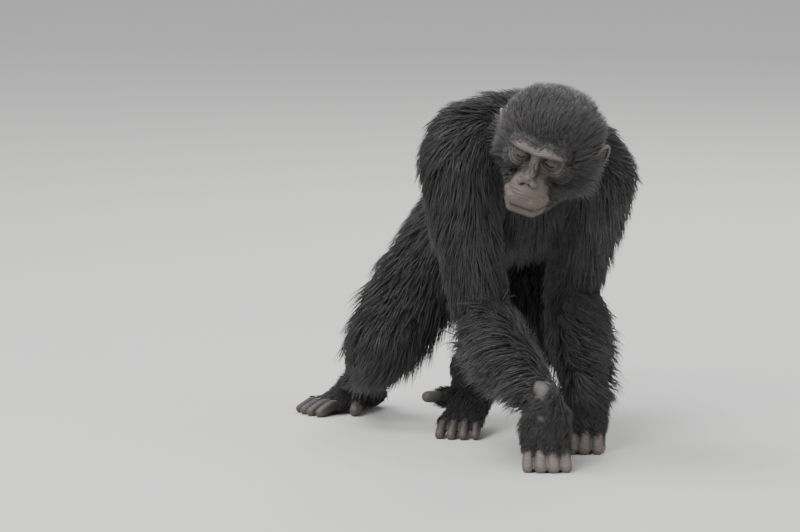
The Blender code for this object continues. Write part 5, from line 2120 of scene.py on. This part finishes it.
@dataclass(frozen=True)
class Studio:
    """A pale floor, soft lights and the camera at the photograph's angle."""

    offset: Vector
    aim: Vector = Vector((-0.2103, 0.0, 0.3367))
    azimuth: float = -12.0
    elevation: float = 8.0
    distance: float = 20.0
    pixels_per_metre: float = 525.0
    image_width: int = 800
    lamps: tuple[tuple, ...] = (
        ("key", Vector((-2.2, -3.2, 3.4)), 2.6, 170.0, (1.0, 0.98, 0.95)),
        ("fill", Vector((3.4, -3.0, 1.8)), 3.0, 42.0, (0.93, 0.96, 1.0)),
        ("rim", Vector((1.6, 3.4, 3.2)), 2.4, 110.0, (1.0, 0.99, 0.97)),
        ("top", Vector((-1.6, 0.6, 4.2)), 2.8, 150.0, (0.97, 0.98, 1.0)),
    )
    sky: Colour = (0.80, 0.81, 0.82)
    sky_strength: float = 0.90

    def floor(self) -> None:
        """Lay the floor."""
        bm = bmesh.new()
        bmesh.ops.create_circle(bm, cap_ends=True, segments=96, radius=45.0)
        obj = linked("floor", mesh_of(bm, "floor"))
        paper = Recipe("floor_paper", {"Specular IOR Level": 0.2, "Roughness": 0.9})
        colour = paper.mix(paper.noise(3.0, 2.0) * 0.4, (0.60, 0.60, 0.585), (0.56, 0.56, 0.55))
        obj.data.materials.append(paper.finish(colour))

    def light(self, name: str, place: Vector, size: float, power: float, colour: Colour) -> None:
        """Hang one soft light that looks at the animal.

        Args:
            name: The light's name.
            place: Where it hangs.
            size: Its breadth.
            power: Its strength, in watts.
            colour: Its colour.
        """
        lamp = bpy.data.lights.new(name, "AREA")
        lamp.shape = "DISK"
        lamp.size = size
        lamp.energy = power
        lamp.color = colour
        obj = linked(name, lamp)
        obj.location = place
        obj.rotation_euler = (Vector((0, 0, 0.35)) - place).to_track_quat("-Z", "Y").to_euler()

    def camera(self) -> None:
        """Set up the camera."""
        turn, tilt = math.radians(self.azimuth), math.radians(self.elevation)
        back = Vector((math.sin(turn) * math.cos(tilt), -math.cos(turn) * math.cos(tilt), math.sin(tilt)))
        lens = bpy.data.cameras.new("camera")
        lens.sensor_width = 36.0
        lens.lens = self.pixels_per_metre * self.distance * lens.sensor_width / self.image_width
        lens.clip_end = 200.0
        obj = linked("camera", lens)
        obj.location = self.aim + self.offset + back * self.distance
        obj.rotation_euler = (-back).to_track_quat("-Z", "Y").to_euler()
        bpy.context.scene.camera = obj

    def build(self) -> None:
        """Set up floor, lights, sky and camera."""
        self.floor()
        for lamp in self.lamps:
            self.light(*lamp)
        world = bpy.data.worlds.new("sky")
        world.use_nodes = True
        background = world.node_tree.nodes["Background"]
        background.inputs["Color"].default_value = (*self.sky, 1.0)
        background.inputs["Strength"].default_value = self.sky_strength
        bpy.context.scene.world = world
        self.camera()


def set_down(obj: bpy.types.Object, offset: Vector, finish: bpy.types.Material) -> None:
    """Dress a piece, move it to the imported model's place and let it ride there.

    Args:
        obj: The piece.
        offset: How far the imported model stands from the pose's numbers.
        finish: The piece's material.
    """
    obj.data.transform(Matrix.Translation(offset))
    obj.data.materials.clear()
    obj.data.materials.append(finish)
    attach(obj, "root")
    log.info("%s: %d faces", obj.name, len(obj.data.polygons))


def main() -> None:
    """Build the animal piece by piece, then the studio round it."""
    logging.basicConfig(level=logging.INFO, format="%(asctime)s %(message)s")
    pose = Pose()
    offset = pose.offset()
    log.info("offset %s", tuple(offset))
    markings = Markings(pose, Folds())
    flesh = Flesh(pose, markings)
    skin = flesh.build()
    skin.data.shade_smooth()
    coat_finish = CoatFinish().build()
    for piece in Coat(pose, markings, skin).grow():
        set_down(piece, offset, coat_finish)
    set_down(skin, offset, SkinFinish().build())
    limbs = [f"{part}_{side.label}" for part in LIMB_NODES for side in Side]
    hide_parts(*FLESH_NODES, *limbs)
    ear_finish, eye_finish = EarFinish().build(), EyeFinish().build()
    for side in Side:
        ear = Ear(pose, side).build()
        set_down(ear, offset, ear_finish)
        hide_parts("ear_" + side.label)
        eye = Eye(pose, side).build()
        set_down(eye, offset, eye_finish)
        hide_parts("eye_" + side.label)
    set_down(Nails(pose, flesh).build(), offset, NailFinish().build())
    Studio(offset).build()
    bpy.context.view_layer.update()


if __name__ == "__main__":
    main()
